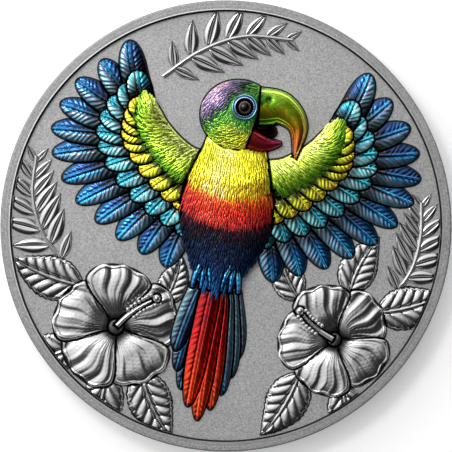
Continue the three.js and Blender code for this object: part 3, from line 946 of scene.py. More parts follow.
def body_length(top, bottom):
    """A zone of the body's dome, which is lower at the neck. Both its ends bow towards the tail."""
    widths = spline([[w, 0] for w in BODY_HALF_WIDTHS])

    def relief(t, v, edge, along, side):
        neck = mix(0.55, 1, smoothstep(NECK - mix(top, bottom, t), 0, 3.5))
        return DOME * neck * domed(v, 0.5), 1 - 0.9 * smoothstep(np.abs(v), 0.95, 1)

    return strip(
        spline([on_coin(0, top), on_coin(-0.3, bottom)]),
        lambda t: widths((BODY_TOP - mix(top, bottom, t)) / (BODY_TOP - BODY_BOTTOM))[..., 0],
        relief, 50, columns(51), push=lambda t, v: 1.2 * (1 - v**2),
    )


strike("feet_left_toes", toes(-1.8), CYAN, "lacquer_cyan", "foot_left")
strike("feet_right_toes", toes(1.4), CYAN, "lacquer_cyan", "foot_right")
bib_shape = body_length(11, 4.6)
breast_shape, belly_shape = body_length(5, 1.4), body_length(1.8, BODY_BOTTOM)
# The zones overlap a little, with no groove between them.
joined = {"groove": -0.05, "slope": 0.05}
bib = strike("bib_dome", [bib_shape], YELLOW, "lacquer_yellow", "bib", **joined)
breast = strike("breast_dome", [breast_shape], RED, "lacquer_red", "breast_band", **joined)
belly = strike("belly_dome", [belly_shape], BELLY, "lacquer_navy", "belly", **joined)

# %% [markdown]
# ## The wings
# A flight feather is a blade on a shaft, with barbs that slant towards its tip. Rows of feathers overlap
# like shingles: each one leans, so that its outer edge rides over its neighbour. A row lies lower near its
# roots, where the next row covers it, and painted shade darkens it there.

# %% Wings
def feather_relief(rise, lean, wall=0.45, covered=0.0, split=0.6, barb=0.015):
    """split is the width of a barb, and barb its height."""
    def relief(t, v, edge, along, side):
        shaft = bell(v, 0, 0.07)
        slant = np.sin(tau * (along - BARB_SLANT * np.abs(side)) / split + 1.5 * np.sin(2.3 * along))
        lie = mix(0.7, 1, smoothstep(t, covered - 0.2, covered)) if covered else 1
        height = rise * (domed(edge, wall) + lean * v) * lie - 0.05 * bell(np.abs(v), 0.16, 0.1)
        height = height + 0.08 * shaft + barb * slant * (1 - shaft) * smoothstep(t, 0, 0.2)
        # Painted shade: the feather darkens towards its roots, where the next row covers it.
        shade = 0.85 * (1 - smoothstep(t, covered, covered + 0.3)) if covered else 0
        wear = 1 + 0.1 * slant - 0.5 * bell(np.abs(v), 0.15, 0.05) - shade
        return height, wear - 0.8 * smoothstep(edge, 0.9, 1)
    return relief


def wing_row(side, first, last, share, half, relief, rows, across):
    """The feathers from first to last, which reach that share of the way to the wing's tips."""
    roots, tips = bird_spline(WING_ROOTS, side), bird_spline(WING_TIPS, side)
    shapes = []
    for i in range(first, last + 1):
        s = i / (FLIGHT_FEATHERS - 1)
        root = roots(s)
        curve = bowed(root, mix(root, tips(s), share), side * mix(-0.1, 0.1, s))
        shapes.append(strip(
            curve, feather_width(half, 0.6), relief, rows, across, flip=-side, covered=0.5, tip=0.6,
        ))
    return shapes


def shoulder_relief(t, v, edge, along, side):
    return 1.45 * domed(edge, 0.6), 1 - 0.9 * smoothstep(edge, 0.93, 1)


def wing(side_name, side):
    last = FLIGHT_FEATHERS - 1
    lean = -0.18 * side
    prefix = f"wing_{side_name}"
    arm = strip(
        bird_spline(WING_ARM, side), lambda t: mix(2.3, 1.3, t) * round_tip(t, 0.75), shoulder_relief,
        70, columns(41), flip=side, shade=lambda t, v: 0.55 + 0.45 * side * v, tip=0.75,
    )
    shoulder = strike(f"{prefix}_lesser_coverts", [arm], LIME, "lacquer_lime", f"{prefix}_shoulder")
    for row, first, end, share, half, shape, steps, finish, colour in [
        ("median_coverts", 1, last, 0.33, 1.2, (1.15, 0.8, 0.4), 48, COVERT_YELLOW, "yellow"),
        ("greater_coverts", 0, last, 0.57, 1.35, (0.9, 0.8, 0.55), 74, TEAL, "teal"),
        ("primaries", 0, PRIMARIES - 1, 1, 1.5, (0.6, 0.45, 0.55), 124, NAVY, "navy"),
        ("secondaries", PRIMARIES, last, 1, 1.5, (0.6, 0.45, 0.55), 116, BLUE, "blue"),
    ]:
        rise, wall, covered = shape
        relief = feather_relief(rise, lean, wall, covered)
        shapes = wing_row(side, first, end, share, half, relief, steps, columns(37, 1.1))
        part, slot = f"{prefix}_{row}", f"lacquer_{colour}"
        strike(f"{part}_vanes", shapes, finish, slot, part, groove=0.04, slope=0.12)
    return shoulder


shoulders = {-1: wing("left", -1), 1: wing("right", 1)}

# %% [markdown]
# ## The tail
# The tail is a fan of the same feathers. The middle ones are the longest and lie on top, and the fan gets
# shorter towards both sides, so one rule gives the length and the height of each feather from its place.

# %% Tail
def tail_feather(index):
    share = 2 * index / (TAIL_FEATHERS - 1) - 1
    angle = radians(-90) + BIRD_TILT + share * TAIL_FAN
    root = on_coin(0.8 * share - 0.2, -4.4)
    curve = bowed(root, polar(root, mix(17.4, 10.4, abs(share) ** 1.2), angle), 0.05 * share)
    relief = feather_relief(0.6 * mix(1.2, 0.8, abs(share)), 0.2 * np.sign(share), split=0.75, barb=0.011)
    return strip(curve, feather_width(1.15, 0.5), relief, 220, columns(41), flip=np.sign(share) or 1, tip=0.6)


for part, first, finish, slot in [
    ("tail_middle", 3, TAIL_RED, "lacquer_red"), ("tail_left", 0, BLACK, "lacquer_black"),
    ("tail_right", 6, BLACK, "lacquer_black"),
]:
    feathers = [tail_feather(first + i) for i in range(TAIL_FEATHERS // 3)]
    strike(f"{part}_vanes", feathers, finish, slot, part, groove=0.03, slope=0.2, crease=180)

# %% [markdown]
# ## Geometry Nodes
# What repeats is made by Geometry Nodes: the small feathers of the body, the leaflets of the fronds, the
# pollen on the flowers and the ornament on the back. Instances cost little while a tree runs, and a change
# to one leaflet changes them all. A tree has named inputs for its sizes, and it ends by making its
# instances real and giving them their finish.

# %% Geometry Nodes helpers
def new_tree(name, **sockets):
    tree = bpy.data.node_groups.new(name, "GeometryNodeTree")
    tree.is_modifier = True
    tree.interface.new_socket("Geometry", in_out="INPUT", socket_type="NodeSocketGeometry")
    tree.interface.new_socket("Geometry", in_out="OUTPUT", socket_type="NodeSocketGeometry")
    for label, kind in sockets.items():
        tree.interface.new_socket(label.replace("_", " "), in_out="INPUT", socket_type=f"NodeSocket{kind}")
    return tree, node(tree, "NodeGroupInput").outputs


def close_tree(tree, geometry, material):
    """Ends a tree: instances become real mesh and take their finish."""
    real = output(tree, "GeometryNodeRealizeInstances", {"Geometry": geometry})
    smooth = output(tree, "GeometryNodeSetShadeSmooth", {"Geometry": real})
    done = output(tree, "GeometryNodeSetMaterial", {"Geometry": smooth, "Material": material})
    node(tree, "NodeGroupOutput", {"Geometry": done})
    return tree


def store(tree, geometry, name, value, kind="FLOAT", domain="POINT"):
    inputs = {"Geometry": geometry, "Name": name, "Value": value}
    return output(tree, "GeometryNodeStoreNamedAttribute", inputs, data_type=kind, domain=domain)


def named(tree, name, kind="FLOAT"):
    return output(tree, "GeometryNodeInputNamedAttribute", {"Name": name}, data_type=kind)


def along_curve(tree):
    return output(tree, "GeometryNodeSplineParameter")


def rotation(tree, euler):
    return output(tree, "FunctionNodeEulerToRotation", {"Euler": euler})


def instances(tree, points, instance, **inputs):
    return output(tree, "GeometryNodeInstanceOnPoints", {"Points": points, "Instance": instance, **inputs})


def object_mesh(tree, socket):
    return node(tree, "GeometryNodeObjectInfo", {"Object": socket}).outputs["Geometry"]


def swept(tree, curve, swell, width, sides, flatness=1.0):
    """A closed tube along a curve, as thick as swell says. A flatness below 1 makes it a blade."""
    curve = output(tree, "GeometryNodeSetCurveRadius", {"Curve": curve, "Radius": swell})
    ring = output(tree, "GeometryNodeCurvePrimitiveCircle", {"Resolution": sides, "Radius": 1.0})
    profile = output(tree, "GeometryNodeTransform", {"Geometry": ring, "Scale": (1, flatness, 1)})
    inputs = {"Curve": curve, "Profile Curve": profile, "Scale": width, "Fill Caps": True}
    return output(tree, "GeometryNodeCurveToMesh", inputs)


def curve_of(tree, value, places):
    """A soft curve through the places, for a value that runs from 0 to 1."""
    made = node(tree, "ShaderNodeFloatCurve", {"Value": value})
    line = made.mapping.curves[0]
    for _ in places[2:]:
        line.points.new(0.5, 0.5)
    for point, place_on_curve in zip(line.points, places):
        point.location = place_on_curve
    made.mapping.update()
    return made.outputs[0]


# %% [markdown]
# ## Running a tree
# A tree runs as a modifier. Its inputs are set before the object is first evaluated, because a change made
# later may not be seen. The result is read off as a plain mesh, so that the finished piece holds no
# modifier. What a tree makes has no UV map, so low relief is unwrapped from above and from below.

# %% Running a tree
def loose_mesh(name, points_mm, edges=()):
    """A mesh of points, or of a line of edges, for a tree to start from."""
    mesh = bpy.data.meshes.new(name)
    mesh.from_pydata([[c * MM for c in point] for point in points_mm], edges, [])
    return mesh


def grow(name, start, tree, **values):
    """Runs the tree on a mesh and gives the result as a plain mesh."""
    host = add_object(name, start)
    modifier = host.modifiers.new(name, "NODES")
    modifier.node_group = tree
    for item in tree.interface.items_tree:
        key = item.name.replace(" ", "_")
        if item.in_out == "INPUT" and key in values:
            modifier[item.identifier] = values[key]
    view = bpy.context.evaluated_depsgraph_get()
    evaluated = host.evaluated_get(view)
    grown = bpy.data.meshes.new_from_object(evaluated, preserve_all_data_layers=True, depsgraph=view)
    host.modifiers.remove(modifier)
    bpy.data.objects.remove(host)
    return grown


def places_of(mesh):
    """The points of a mesh, in millimetres."""
    points = np.empty(len(mesh.vertices) * 3)
    mesh.vertices.foreach_get("co", points)
    return points.reshape(-1, 3) / MM


def flat_unwrap(mesh):
    """A UV map for low relief: faces that look up and faces that look down each get half of it."""
    loops = np.empty(len(mesh.loops), int)
    mesh.loops.foreach_get("vertex_index", loops)
    sizes = np.array([len(p.vertices) for p in mesh.polygons])
    down = np.repeat([p.normal.z < 0 for p in mesh.polygons], sizes)
    flat = places_of(mesh)[loops, :2] / (2 * COIN_RADIUS) + 0.5
    corners = np.stack([flat[:, 0] * 0.48 + 0.01 + 0.5 * down, flat[:, 1] * 0.96 + 0.02], -1)
    mesh.uv_layers.new(name="OFBake").uv.foreach_set("vector", corners.ravel())


# %% [markdown]
# ## Plumage
# The head, body and shoulders wear thousands of short, overlapping feathers. Modelling each by hand would
# take weeks, so one small blade is drawn as a curve with a changing radius, and instanced on points. Each
# point carries the way that its feather lies, its size and its own tone of colour.

# %% Plumage
def plumage_tree():
    tree, given = new_tree("plumage", Length="Float", Width="Float", Lift="Float", Lacquer="Material")
    length, width, lift = (given[key] for key in ("Length", "Width", "Lift"))
    start = combine(tree, Z=calc(tree, "MULTIPLY", lift, -1.0))
    middle = combine(tree, X=calc(tree, "MULTIPLY", length, 0.5), Z=calc(tree, "MULTIPLY", lift, 2.0))
    end = combine(tree, X=length, Z=calc(tree, "MULTIPLY", lift, 0.3))
    points = {"Resolution": 5, "Start": start, "Middle": middle, "End": end}
    blade = output(tree, "GeometryNodeCurveQuadraticBezier", points)
    share = along_curve(tree)
    # Painted shade: each small feather is darker at its root, where it tucks under the one before it.
    blade = store(tree, blade, "wear", curve_of(tree, share, [(0, 0.25), (0.4, 0.75), (1, 1.0)]))
    blade = store(tree, blade, "barb", calc(tree, "MULTIPLY", share, 0.3))
    swell = curve_of(tree, share, [(0, 0.4), (0.35, 1.0), (0.75, 0.7), (1, 0.06)])
    tuft = swept(tree, blade, swell, width, 6, flatness=0.35)
    # Each tuft is unwrapped as a small patch round its root's place on the dome below.
    patch = vector(tree, "MULTIPLY", output(tree, "GeometryNodeInputPosition"), (3, 3, 3))
    tuft = store(tree, tuft, "patch", patch, "FLOAT_VECTOR")
    turn = rotation(tree, named(tree, "turn", "FLOAT_VECTOR"))
    tufts = instances(tree, given["Geometry"], tuft, Rotation=turn, Scale=named(tree, "size"))
    real = output(tree, "GeometryNodeRealizeInstances", {"Geometry": tufts})
    patch, root = named(tree, "patch", "FLOAT_VECTOR"), named(tree, "root_uv", "FLOAT_VECTOR")
    mapped = store(tree, real, "OFBake", vector(tree, "ADD", patch, root), "FLOAT2", "CORNER")
    return close_tree(tree, mapped, given["Lacquer"])


PLUMAGE = plumage_tree()
print("plumage tree:", len(PLUMAGE.nodes), "nodes")

# %% [markdown]
# ## Where the feathers stand
# The points lie in staggered rows, each moved a little at random. A ray dropped on the dome from above
# gives a point's height and the slope there. Where the dome falls off steeply, or where a feather would
# stick up too far or hang over the eye or the bill, none is set.

# %% Points on a dome
TUFT_TOP = 4.69  # no tip lies higher
TUFT_FOOT = FIELD + 0.5  # no feather stands lower, because walls are steep there
STEEPEST = 0.45  # a feather stands where the dome faces up by more than this, and climbs by less
CLEARANCE = 0.08  # how far a feather stays from the eye and the bill


def rest_on(skin, flow, spacing, length, clear_of, within):
    """Points on a dome, with the turn that lays a feather along the flow there. No feather reaches over what
    is in clear_of, and where within is given, every tip is inside one of its outlines."""
    mesh = skin.data
    bvh = BVHTree.FromPolygons([v.co for v in mesh.vertices], [p.vertices[:] for p in mesh.polygons])
    uv = mesh.uv_layers["OFBake"].uv
    along, across = mesh.attributes["along"].data, mesh.attributes["across"].data
    box = np.array(skin.bound_box)[:, :2] / MM
    low, high = box.min(0), box.max(0)
    rows = int((high[1] - low[1]) / spacing[1]) + 1
    found = []
    for row in range(rows):
        for x in np.arange(low[0] + (row % 2) * spacing[0] / 2, high[0], spacing[0]):
            spot = np.array([x, low[1] + row * spacing[1]]) + (rng.random(2) - 0.5) * spacing * 0.7
            tone, scale = rng.random(), 0.8 + 0.4 * rng.random()
            where, normal, face, _ = bvh.ray_cast(Vector((*spot * MM, 10 * MM)), Vector((0, 0, -1)))
            if where is None or normal.z < STEEPEST or where.z < TUFT_FOOT * MM:
                continue
            way = np.array(flow(*spot)) / np.hypot(*flow(*spot))
            tip = spot + way * length * scale
            ends = np.array([spot, tip]).T
            if any(distance_outside(outline, *ends).min() < CLEARANCE for outline in clear_of):
                continue
            if within and min(distance_outside(outline, *tip[:, None])[0] for outline in within) > 0:
                continue
            ahead = Vector((*way, 0))
            ahead = (ahead - normal * ahead.dot(normal)).normalized()
            if ahead.z > STEEPEST or where.z + ahead.z * length * scale * MM > TUFT_TOP * MM:
                continue
            turn = Matrix((ahead, normal.cross(ahead), normal)).transposed().to_euler()
            polygon = mesh.polygons[face]
            corner = polygon.vertices[0]
            root = uv[polygon.loop_start].vector
            found.append({
                "place": where, "turn": turn, "root_uv": (*root, 0), "tone": tone, "size": scale,
                "along": along[corner].value, "across": across[corner].value,
            })
    return found


def dress(name, skin, slot, node_name, flow, spacing, length, width, lift, clear_of=(), within=()):
    """Sets feathers of that length and width, in millimetres, all over a dome."""
    found = rest_on(skin, flow, np.array(spacing), length, clear_of, within)
    mesh = bpy.data.meshes.new(name)
    mesh.from_pydata([spot["place"] for spot in found], [], [])
    for key in ("tone", "size", "along", "across"):
        values = [spot[key] for spot in found]
        mesh.attributes.new(key, "FLOAT", "POINT").data.foreach_set("value", values)
    for key in ("turn", "root_uv"):
        values = np.array([spot[key][:] for spot in found]).ravel()
        mesh.attributes.new(key, "FLOAT_VECTOR", "POINT").data.foreach_set("vector", values)
    finish = skin.data.materials[0]
    sizes = {"Length": length * MM, "Width": width * MM, "Lift": lift * MM}
    grown = grow(name, mesh, PLUMAGE, **sizes, Lacquer=finish)
    print(f"{name}: {len(found)} feathers")
    return place(name, grown, finish, slot, node_name)


# %% [markdown]
# ## The way the feathers lie
# Feathers always point away from the bill: back over the crown, down the throat and the body, and out
# along the wings. Each of these ways is a small function of the place, and the cheek's feathers lie away
# from the eye. Then every zone is dressed, with the shortest feathers on the face.

# %% Dressing the bird
def head_flow(x, y):
    """From the bill back over the crown and down the throat."""
    dx, dy = x - HEAD_MIDDLE[0], y - HEAD_MIDDLE[1]
    turn = 1 if dy > -0.6 else -1
    return -turn * dy - 1.5, turn * dx - 1.2


def body_flow(x, y):
    axis = on_coin(0, -1)
    return axis[0] + 0.05 * x, axis[1]


def wing_flow(side):
    share = np.linspace(0, 1, 40)
    roots, tips = bird_spline(WING_ROOTS, side)(share), bird_spline(WING_TIPS, side)(share)

    def flow(x, y):
        nearest = np.argmin(np.hypot(*(roots - [x, y]).T))
        return tips[nearest] - roots[nearest]

    return flow


def eye_flow(x, y):
    """Away from the eye."""
    return np.array([x, y]) - HEAD_MIDDLE - EYE_PLACE


face = [eye.outline, upper_bill.outline, lower_bill.outline, tongue.outline]
dress(
    "head_feathers", head, "lacquer_green", "head", head_flow,
    spacing=(0.22, 0.28), length=0.7, width=0.085, lift=0.035,
    clear_of=face + [cheek_shape.outline], within=[head_shape.outline, bib_shape.outline],
)
bare = EYE_RINGS[1] + 0.05
dress(
    "cheek_feathers", cheek, "lacquer_cyan", "cheek", eye_flow,
    spacing=(0.22, 0.22), length=0.5, width=0.08, lift=0.03,
    clear_of=face + [circle(HEAD_MIDDLE + EYE_PLACE, (bare, bare), 48)],
)
for name, skin, slot, node_name, length in [
    ("bib_feathers", bib, "lacquer_yellow", "bib", 0.95),
    ("breast_feathers", breast, "lacquer_red", "breast_band", 0.95),
    ("belly_feathers", belly, "lacquer_navy", "belly", 1.0),
]:
    sizes = {"spacing": (0.24, 0.38), "length": length, "width": 0.105, "lift": 0.045}
    dress(name, skin, slot, node_name, body_flow, **sizes)
for side, side_name in ((-1, "left"), (1, "right")):
    shoulder = f"wing_{side_name}_shoulder"
    dress(
        f"{shoulder}_feathers", shoulders[side], "lacquer_lime", shoulder, wing_flow(side),
        spacing=(0.3, 0.32), length=0.95, width=0.12, lift=0.05,
    )

# %% [markdown]
# ## The dark line round every form
# The die leaves a narrow groove round each form, and oxide fills it. A thin black plate under every form, a
# little wider than it is, shows as that line.

# %% The dark ground
def plate(outline, spread, thickness):
    """A thin closed plate, wider than the outline all round."""
    before, after = np.roll(outline, 1, 0), np.roll(outline, -1, 0)
    along = after - before
    along /= np.maximum(np.linalg.norm(along, axis=1, keepdims=True), 1e-9)
    x, y = outline.T
    turn = 1 if np.sum(x * np.roll(y, -1) - y * np.roll(x, -1)) > 0 else -1
    edge = (outline + turn * spread * np.column_stack([along[:, 1], -along[:, 0]]))[::turn]
    count = len(edge)
    low = np.column_stack([edge, np.full(count, FOOT)])
    high = np.column_stack([edge, np.full(count, FIELD + thickness)])
    ring = np.arange(count)
    beside = np.roll(ring, -1)
    walls = np.stack([ring, beside, count + beside, count + ring], -1)
    unit = (edge - edge.min(0)) / (edge.max(0) - edge.min(0))
    wall_corners = unit[np.stack([ring, beside, beside, ring], -1).ravel()]
    corners = [unit * 0.8, unit[::-1] * 0.08 + 0.9, wall_corners * 0.08 + 0.81]
    points = np.concatenate([low, high])
    sink(points, [])
    return Shape(points, [count + ring[None], ring[None, ::-1], walls], np.concatenate(corners))


make("zone_grooves", [plate(o, 0.13, 0.03) for o in zone_outlines], OXIDE, "silver")

# %% [markdown]
# ## Flowers
# The flowers are hibiscus: five petals with pleats that run from a dark throat, and a long column with
# pollen on it. A petal's relief is a dome with waves across it, so the pleats are real shape. The column
# and its knob come first in the list, because they lie nearest.

# %% Flowers
@dataclass
class Flower:
    centre: tuple
    radius: float
    turn: float  # the bearing of its first petal
    column_turn: float  # the bearing of its column


LARGE_FLOWER = Flower((-12.2, -11.2), 6.9, radians(78), radians(35))
SMALL_FLOWER = Flower((12, -12.6), 6.2, radians(100), radians(140))


def petal_relief(phase):
    """Two waves across the petal make its pleats. The phase shifts them, so that no two petals are alike."""
    def relief(t, v, edge, along, side):
        v = v + 0.06 * np.sin(9 * t + phase)
        pleat = 0.7 * np.cos(tau * 1.7 * v + phase) + 0.45 * np.cos(tau * 3.1 * v + 2.3 * phase)
        vein = 1 - np.abs(np.sin(pi * 6.5 * v))
        height = 0.62 * (domed(edge, 0.4) + 0.25 * v) * mix(0.45, 1, smoothstep(t, 0, 0.45))
        height = height + 0.06 * pleat * smoothstep(t, 0.15, 0.8) - 0.03 * vein**4
        height = height + 0.07 * bell(edge, 0.9, 0.05)
        throat = 1 - smoothstep(t, 0.05, 0.32)
        wear = 1 - 0.8 * throat - 0.5 * vein**5 * (1 - smoothstep(t, 0.3, 0.8))
        return height, wear - 0.8 * smoothstep(edge, 0.95, 1) - 0.6 * bell(edge, 0.82, 0.03)
    return relief


def column_relief(t, v, edge, along, side):
    return 0.9 * domed(v, 0.45), 1 - smoothstep(np.abs(v), 0.8, 1)


def knob_relief(rise, wear):
    return lambda r, x, y: (rise * domed(r, 0.45), wear - smoothstep(r, 0.85, 1))


def column_of(flower):
    return bowed(flower.centre, polar(flower.centre, 0.78 * flower.radius, flower.column_turn), 0.12)


def ripple(t, v):
    """The wavy front edge of a petal."""
    return 0.16 * np.cos(9 * v * round_tip(t, 0.65) + 1) * smoothstep(t, 0.6, 1)


def blossom(flower):
    """Its shapes, from the nearest to the farthest."""
    centre, radius = flower.centre, flower.radius
    shapes = [
        boss(polar(centre, 0.8 * radius, flower.column_turn), (0.5, 0.5), knob_relief(0.95, 1), 12, 32),
        strip(column_of(flower), taper(0.36, 0.2), column_relief, 40, columns(11)),
        boss(centre, (0.13 * radius, 0.13 * radius), knob_relief(0.3, 0.35), 10, 40),
    ]
    for i in range(5):
        angle = flower.turn + i * tau / 5
        curve = bowed(polar(centre, 0.08 * radius, angle), polar(centre, radius, angle + 0.12), 0.06)
        shapes.append(strip(
            curve, petal_width(0.54 * radius), petal_relief(radius + 2.1 * i), 80, columns(61),
            push=ripple, tip=0.65,
        ))
    return shapes


FINE_GROOVE, FINE_SLOPE = 0.03, 0.1  # the silver forms are lower, so their grooves are narrower
silver_outlines = []


def strike_silver(name, shapes):
    """Cuts the shapes back under the bird and under each other."""
    for shape in shapes:
        cut_back(shape, zone_outlines + silver_outlines, FINE_GROOVE, FINE_SLOPE)
        silver_outlines.append(shape.outline)
    return make(name, shapes, POLISHED, "silver", "coin")


strike_silver("blossoms", blossom(LARGE_FLOWER) + blossom(SMALL_FLOWER))

# %% [markdown]
# ## Leaves
# A leaf has a midrib, side veins with a pillow of flesh between each two, a toothed edge and a raised
# border, which catches the light. The veins slant like a feather's barbs, so they come from the same two
# numbers: how far along the leaf a point lies, and how far from its midrib.

# %% Leaves
LEAVES = [
    # root, length, angle in degrees, bow
    ((-16.4, -13.2), 8.4, 192, 0.12), ((-15.8, -6.6), 8.4, 158, 0.12), ((-13.2, -16.2), 8.6, 250, 0.12),
    ((-9.4, -16), 8.4, 294, -0.12), ((-7, -8.6), 5.8, 70, -0.12), ((16.6, -9.6), 8.2, 16, -0.12),
    ((13.6, -7.6), 7.2, 62, 0.12), ((8.2, -8.2), 6.4, 112, 0.12), ((8.2, -16.2), 8.2, 238, 0.12),
    ((12.8, -17.6), 7.6, 292, -0.12),
]


def leaf_relief(length):
    pitch = length / 6.5  # from vein to vein

    def relief(t, v, edge, along, side):
        fade = np.clip(np.abs(v) / 0.15, 0, 1) * (1 - smoothstep(np.abs(v), 0.8, 0.95))
        lobe = np.abs(np.sin(pi * (along - 0.8 * np.abs(side)) / pitch))
        arch = np.sin(pi * np.abs(v) ** 0.8)
        height = 0.24 + 0.13 * arch + 0.13 * fade * np.sqrt(lobe) + 0.14 * bell(v, 0, 0.05)
        height = height + 0.05 * bell(np.abs(v), 0.9, 0.035) - 0.1 * bell(np.abs(v), 0.12, 0.05)
        wear = 1 - 0.85 * fade * bell(lobe, 0, 0.22) - 0.75 * bell(np.abs(v), 0.12, 0.05)
        wear = wear - 0.6 * bell(np.abs(v), 0.82, 0.03) - 0.8 * smoothstep(np.abs(v), 0.96, 1)
        return height * smoothstep(1.02 - t, 0, 0.06), wear

    return relief


def leaf(root, length, angle, bow):
    midrib = bowed(root, polar(root, length, radians(angle)), bow)
    return strip(midrib, leaf_width(0.3 * length, teeth=13), leaf_relief(length), 130, columns(55, 1.1))


strike_silver("leaves", [leaf(*row) for row in LEAVES])

# %% [markdown]
# ## Fronds
# A frond repeats one leaflet in pairs along a curved stalk. The tree takes the stalk as a line of edges and
# the leaflet as an object. It sets pairs on the stalk, turns them away from it, less and less towards the
# tip, and scales them along it.

# %% Fronds
FRONDS = [
    # points of the stalk, length of the longest leaflet
    ([[-17.4, -4.6], [-20.2, -1], [-21.4, 3.4], [-21, 7.8]], 4.6),
    ([[18.4, -8], [20.6, -4.8], [21.6, -1.2], [21.7, 2.6]], 4.2),
    ([[-7, 16.6], [-2.8, 19.4], [2, 21], [7.4, 20.6]], 4.4),
]
STALK_HEIGHT = FIELD + 0.25
STALK_STEPS = 40
LEAFLET_TURN = 1.05  # radians between the stalk and its lowest leaflets


def frond_tree():
    sizes = {"Pairs": "Int", "Longest": "Float", "Stalk_Width": "Float"}
    tree, given = new_tree("frond", Leaflet="Object", **sizes, Silver="Material")
    line = output(tree, "GeometryNodeMeshToCurve", {"Mesh": given["Geometry"]})
    share = along_curve(tree)
    thinning = curve_of(tree, share, [(0, 1.0), (1, 0.45)])
    stalk = store(tree, swept(tree, line, thinning, given["Stalk Width"], 12), "wear", 1.0)
    trimmed = output(tree, "GeometryNodeTrimCurve", {"Curve": line, 2: 0.1, 3: 0.95})
    joints = output(tree, "GeometryNodeResampleCurve", {"Curve": trimmed, "Count": given["Pairs"]})
    tangent = {"Vector": output(tree, "GeometryNodeInputTangent")}
    aligned = output(tree, "FunctionNodeAlignRotationToVector", tangent, axis="X", pivot_axis="Z")
    growth = curve_of(tree, share, [(0, 0.7), (0.3, 1.0), (0.6, 0.85), (1, 0.45)])
    size = calc(tree, "MULTIPLY", given["Longest"], growth)
    scale = combine(tree, X=size, Y=size, Z=1.0)
    spread = curve_of(tree, share, [(0, 1.0), (1, 0.57)])
    leaflet = object_mesh(tree, given["Leaflet"])
    joined = node(tree, "GeometryNodeJoinGeometry")
    tree.links.new(stalk, joined.inputs[0])
    for side in (-LEAFLET_TURN, LEAFLET_TURN):
        away = {0: aligned, 1: rotation(tree, combine(tree, Z=calc(tree, "MULTIPLY", spread, side)))}
        turn = output(tree, "FunctionNodeRotateRotation", away, rotation_space="LOCAL")
        row = instances(tree, joints, leaflet, Rotation=turn, Scale=scale)
        tree.links.new(row, joined.inputs[0])
    return close_tree(tree, joined.outputs[0], given["Silver"])


FROND = frond_tree()
print("frond tree:", len(FROND.nodes), "nodes")

# %% [markdown]
# ## From leaflet to frond
# The leaflet is a struck form of length 1, so that the tree can scale it in the plane and leave its height
# alone. A grown frond is a plain mesh, and it is sunk under the bird and the leaves like every other form.

# %% Growing the fronds
def leaflet_relief(t, v, edge, along, side):
    height = 0.2 + 0.16 * np.sin(pi * np.abs(v) ** 0.8) + 0.06 * v - 0.08 * bell(v, 0, 0.1)
    return height, 1 - 0.9 * bell(v, 0, 0.08) - smoothstep(np.abs(v), 0.9, 1)


def leaflet_object():
    """One leaflet of length 1, lying along X, level with the stalk."""
    shape = strip(bowed((0, 0), (1, 0), 0.0), leaf_width(0.2), leaflet_relief, 30, columns(17))
    shape.points[:, :2] /= MM
    shape.points[:, 2] -= STALK_HEIGHT
    mesh = to_mesh("leaflet", [shape])
    mesh.uv_layers.remove(mesh.uv_layers["OFBake"])
    return bpy.data.objects.new("leaflet", mesh)


def frond(name, points, longest, leaflet):
    stalk = [(x, y, STALK_HEIGHT) for x, y in spline(points)(np.linspace(0, 1, STALK_STEPS))]
    line = loose_mesh(name, stalk, [(i, i + 1) for i in range(STALK_STEPS - 1)])
    sizes = {"Pairs": 7, "Longest": longest * MM, "Stalk_Width": 0.24 * MM}
    return grow(name, line, FROND, Leaflet=leaflet, **sizes, Silver=POLISHED)


def settle(mesh, outlines):
    """Sinks a grown mesh as the struck forms are, and unwraps it."""
    points = places_of(mesh)
    sink(points, outlines, FINE_GROOVE, FINE_SLOPE)
    mesh.vertices.foreach_set("co", (points * MM).ravel())
    mesh.update()
    flat_unwrap(mesh)
    mesh.set_sharp_from_angle(angle=radians(CREASE))
    return mesh


leaflet = leaflet_object()
for number, (points, longest) in enumerate(FRONDS, 1):
    name = f"frond_{number}"
    mesh = settle(frond(name, points, longest, leaflet), zone_outlines + silver_outlines)
    place(name, mesh, POLISHED, "silver", "coin")
bpy.data.objects.remove(leaflet)

# %% [markdown]
# ## Pollen
# Small balls stand on both sides of each flower's column. They are instances of an ico sphere, which has
# few faces and no poles.

# %% Pollen
def bead_tree():
    tree, given = new_tree("beads", Radius="Float", Silver="Material")
    ball = output(tree, "GeometryNodeMeshIcoSphere", {"Radius": given["Radius"], "Subdivisions": 2})
    beads = instances(tree, given["Geometry"], store(tree, ball, "wear", 1.0))
    return close_tree(tree, beads, given["Silver"])


BEADS = bead_tree()


def place_beads(name, spots, radius):
    mesh = grow(name, loose_mesh(name, spots), BEADS, Radius=radius * MM, Silver=POLISHED)
    flat_unwrap(mesh)
    return place(name, mesh, POLISHED, "silver", "coin")


def pollen(name, flower, pairs=7):
    curve = column_of(flower)
    spots = []
    for i in range(pairs):
        t = mix(0.42, 0.95, i / (pairs - 1))
        for side in (-1, 1):
            away = side * (0.52 + 0.1 * rng.random())
            spots.append((*(curve(t) + away * leftward(direction(curve, t))), FIELD + 0.95))
    return place_beads(name, spots, 0.23)


pollen("pollen_large", LARGE_FLOWER)
pollen("pollen_small", SMALL_FLOWER)

# %% [markdown]
# ## The dark line round the silver forms
# The flowers and leaves get the same thin black plates as the bird, a little narrower, because their forms
# are lower and stand closer together.

# %% The dark ground of the silver
make("foliage_grooves", [plate(o, 0.09, 0.025) for o in silver_outlines], OXIDE, "silver")

# %% [markdown]
# ## The back
# The back of the coin lies on the floor. It has a plain rosette of eight petals inside a ring of beads,
# all struck into the recess, so that they stay above the level of the rim that the coin rests on. A form for
# the back is drawn like the others and then turned over.

# %% The back
def turned_over(shape):
    """The same form on the back. Mirroring it too keeps its faces pointing outwards."""
    shape.points[:, 1] *= -1
    shape.points[:, 2] = REVERSE_FIELD + FIELD - shape.points[:, 2]
    return shape


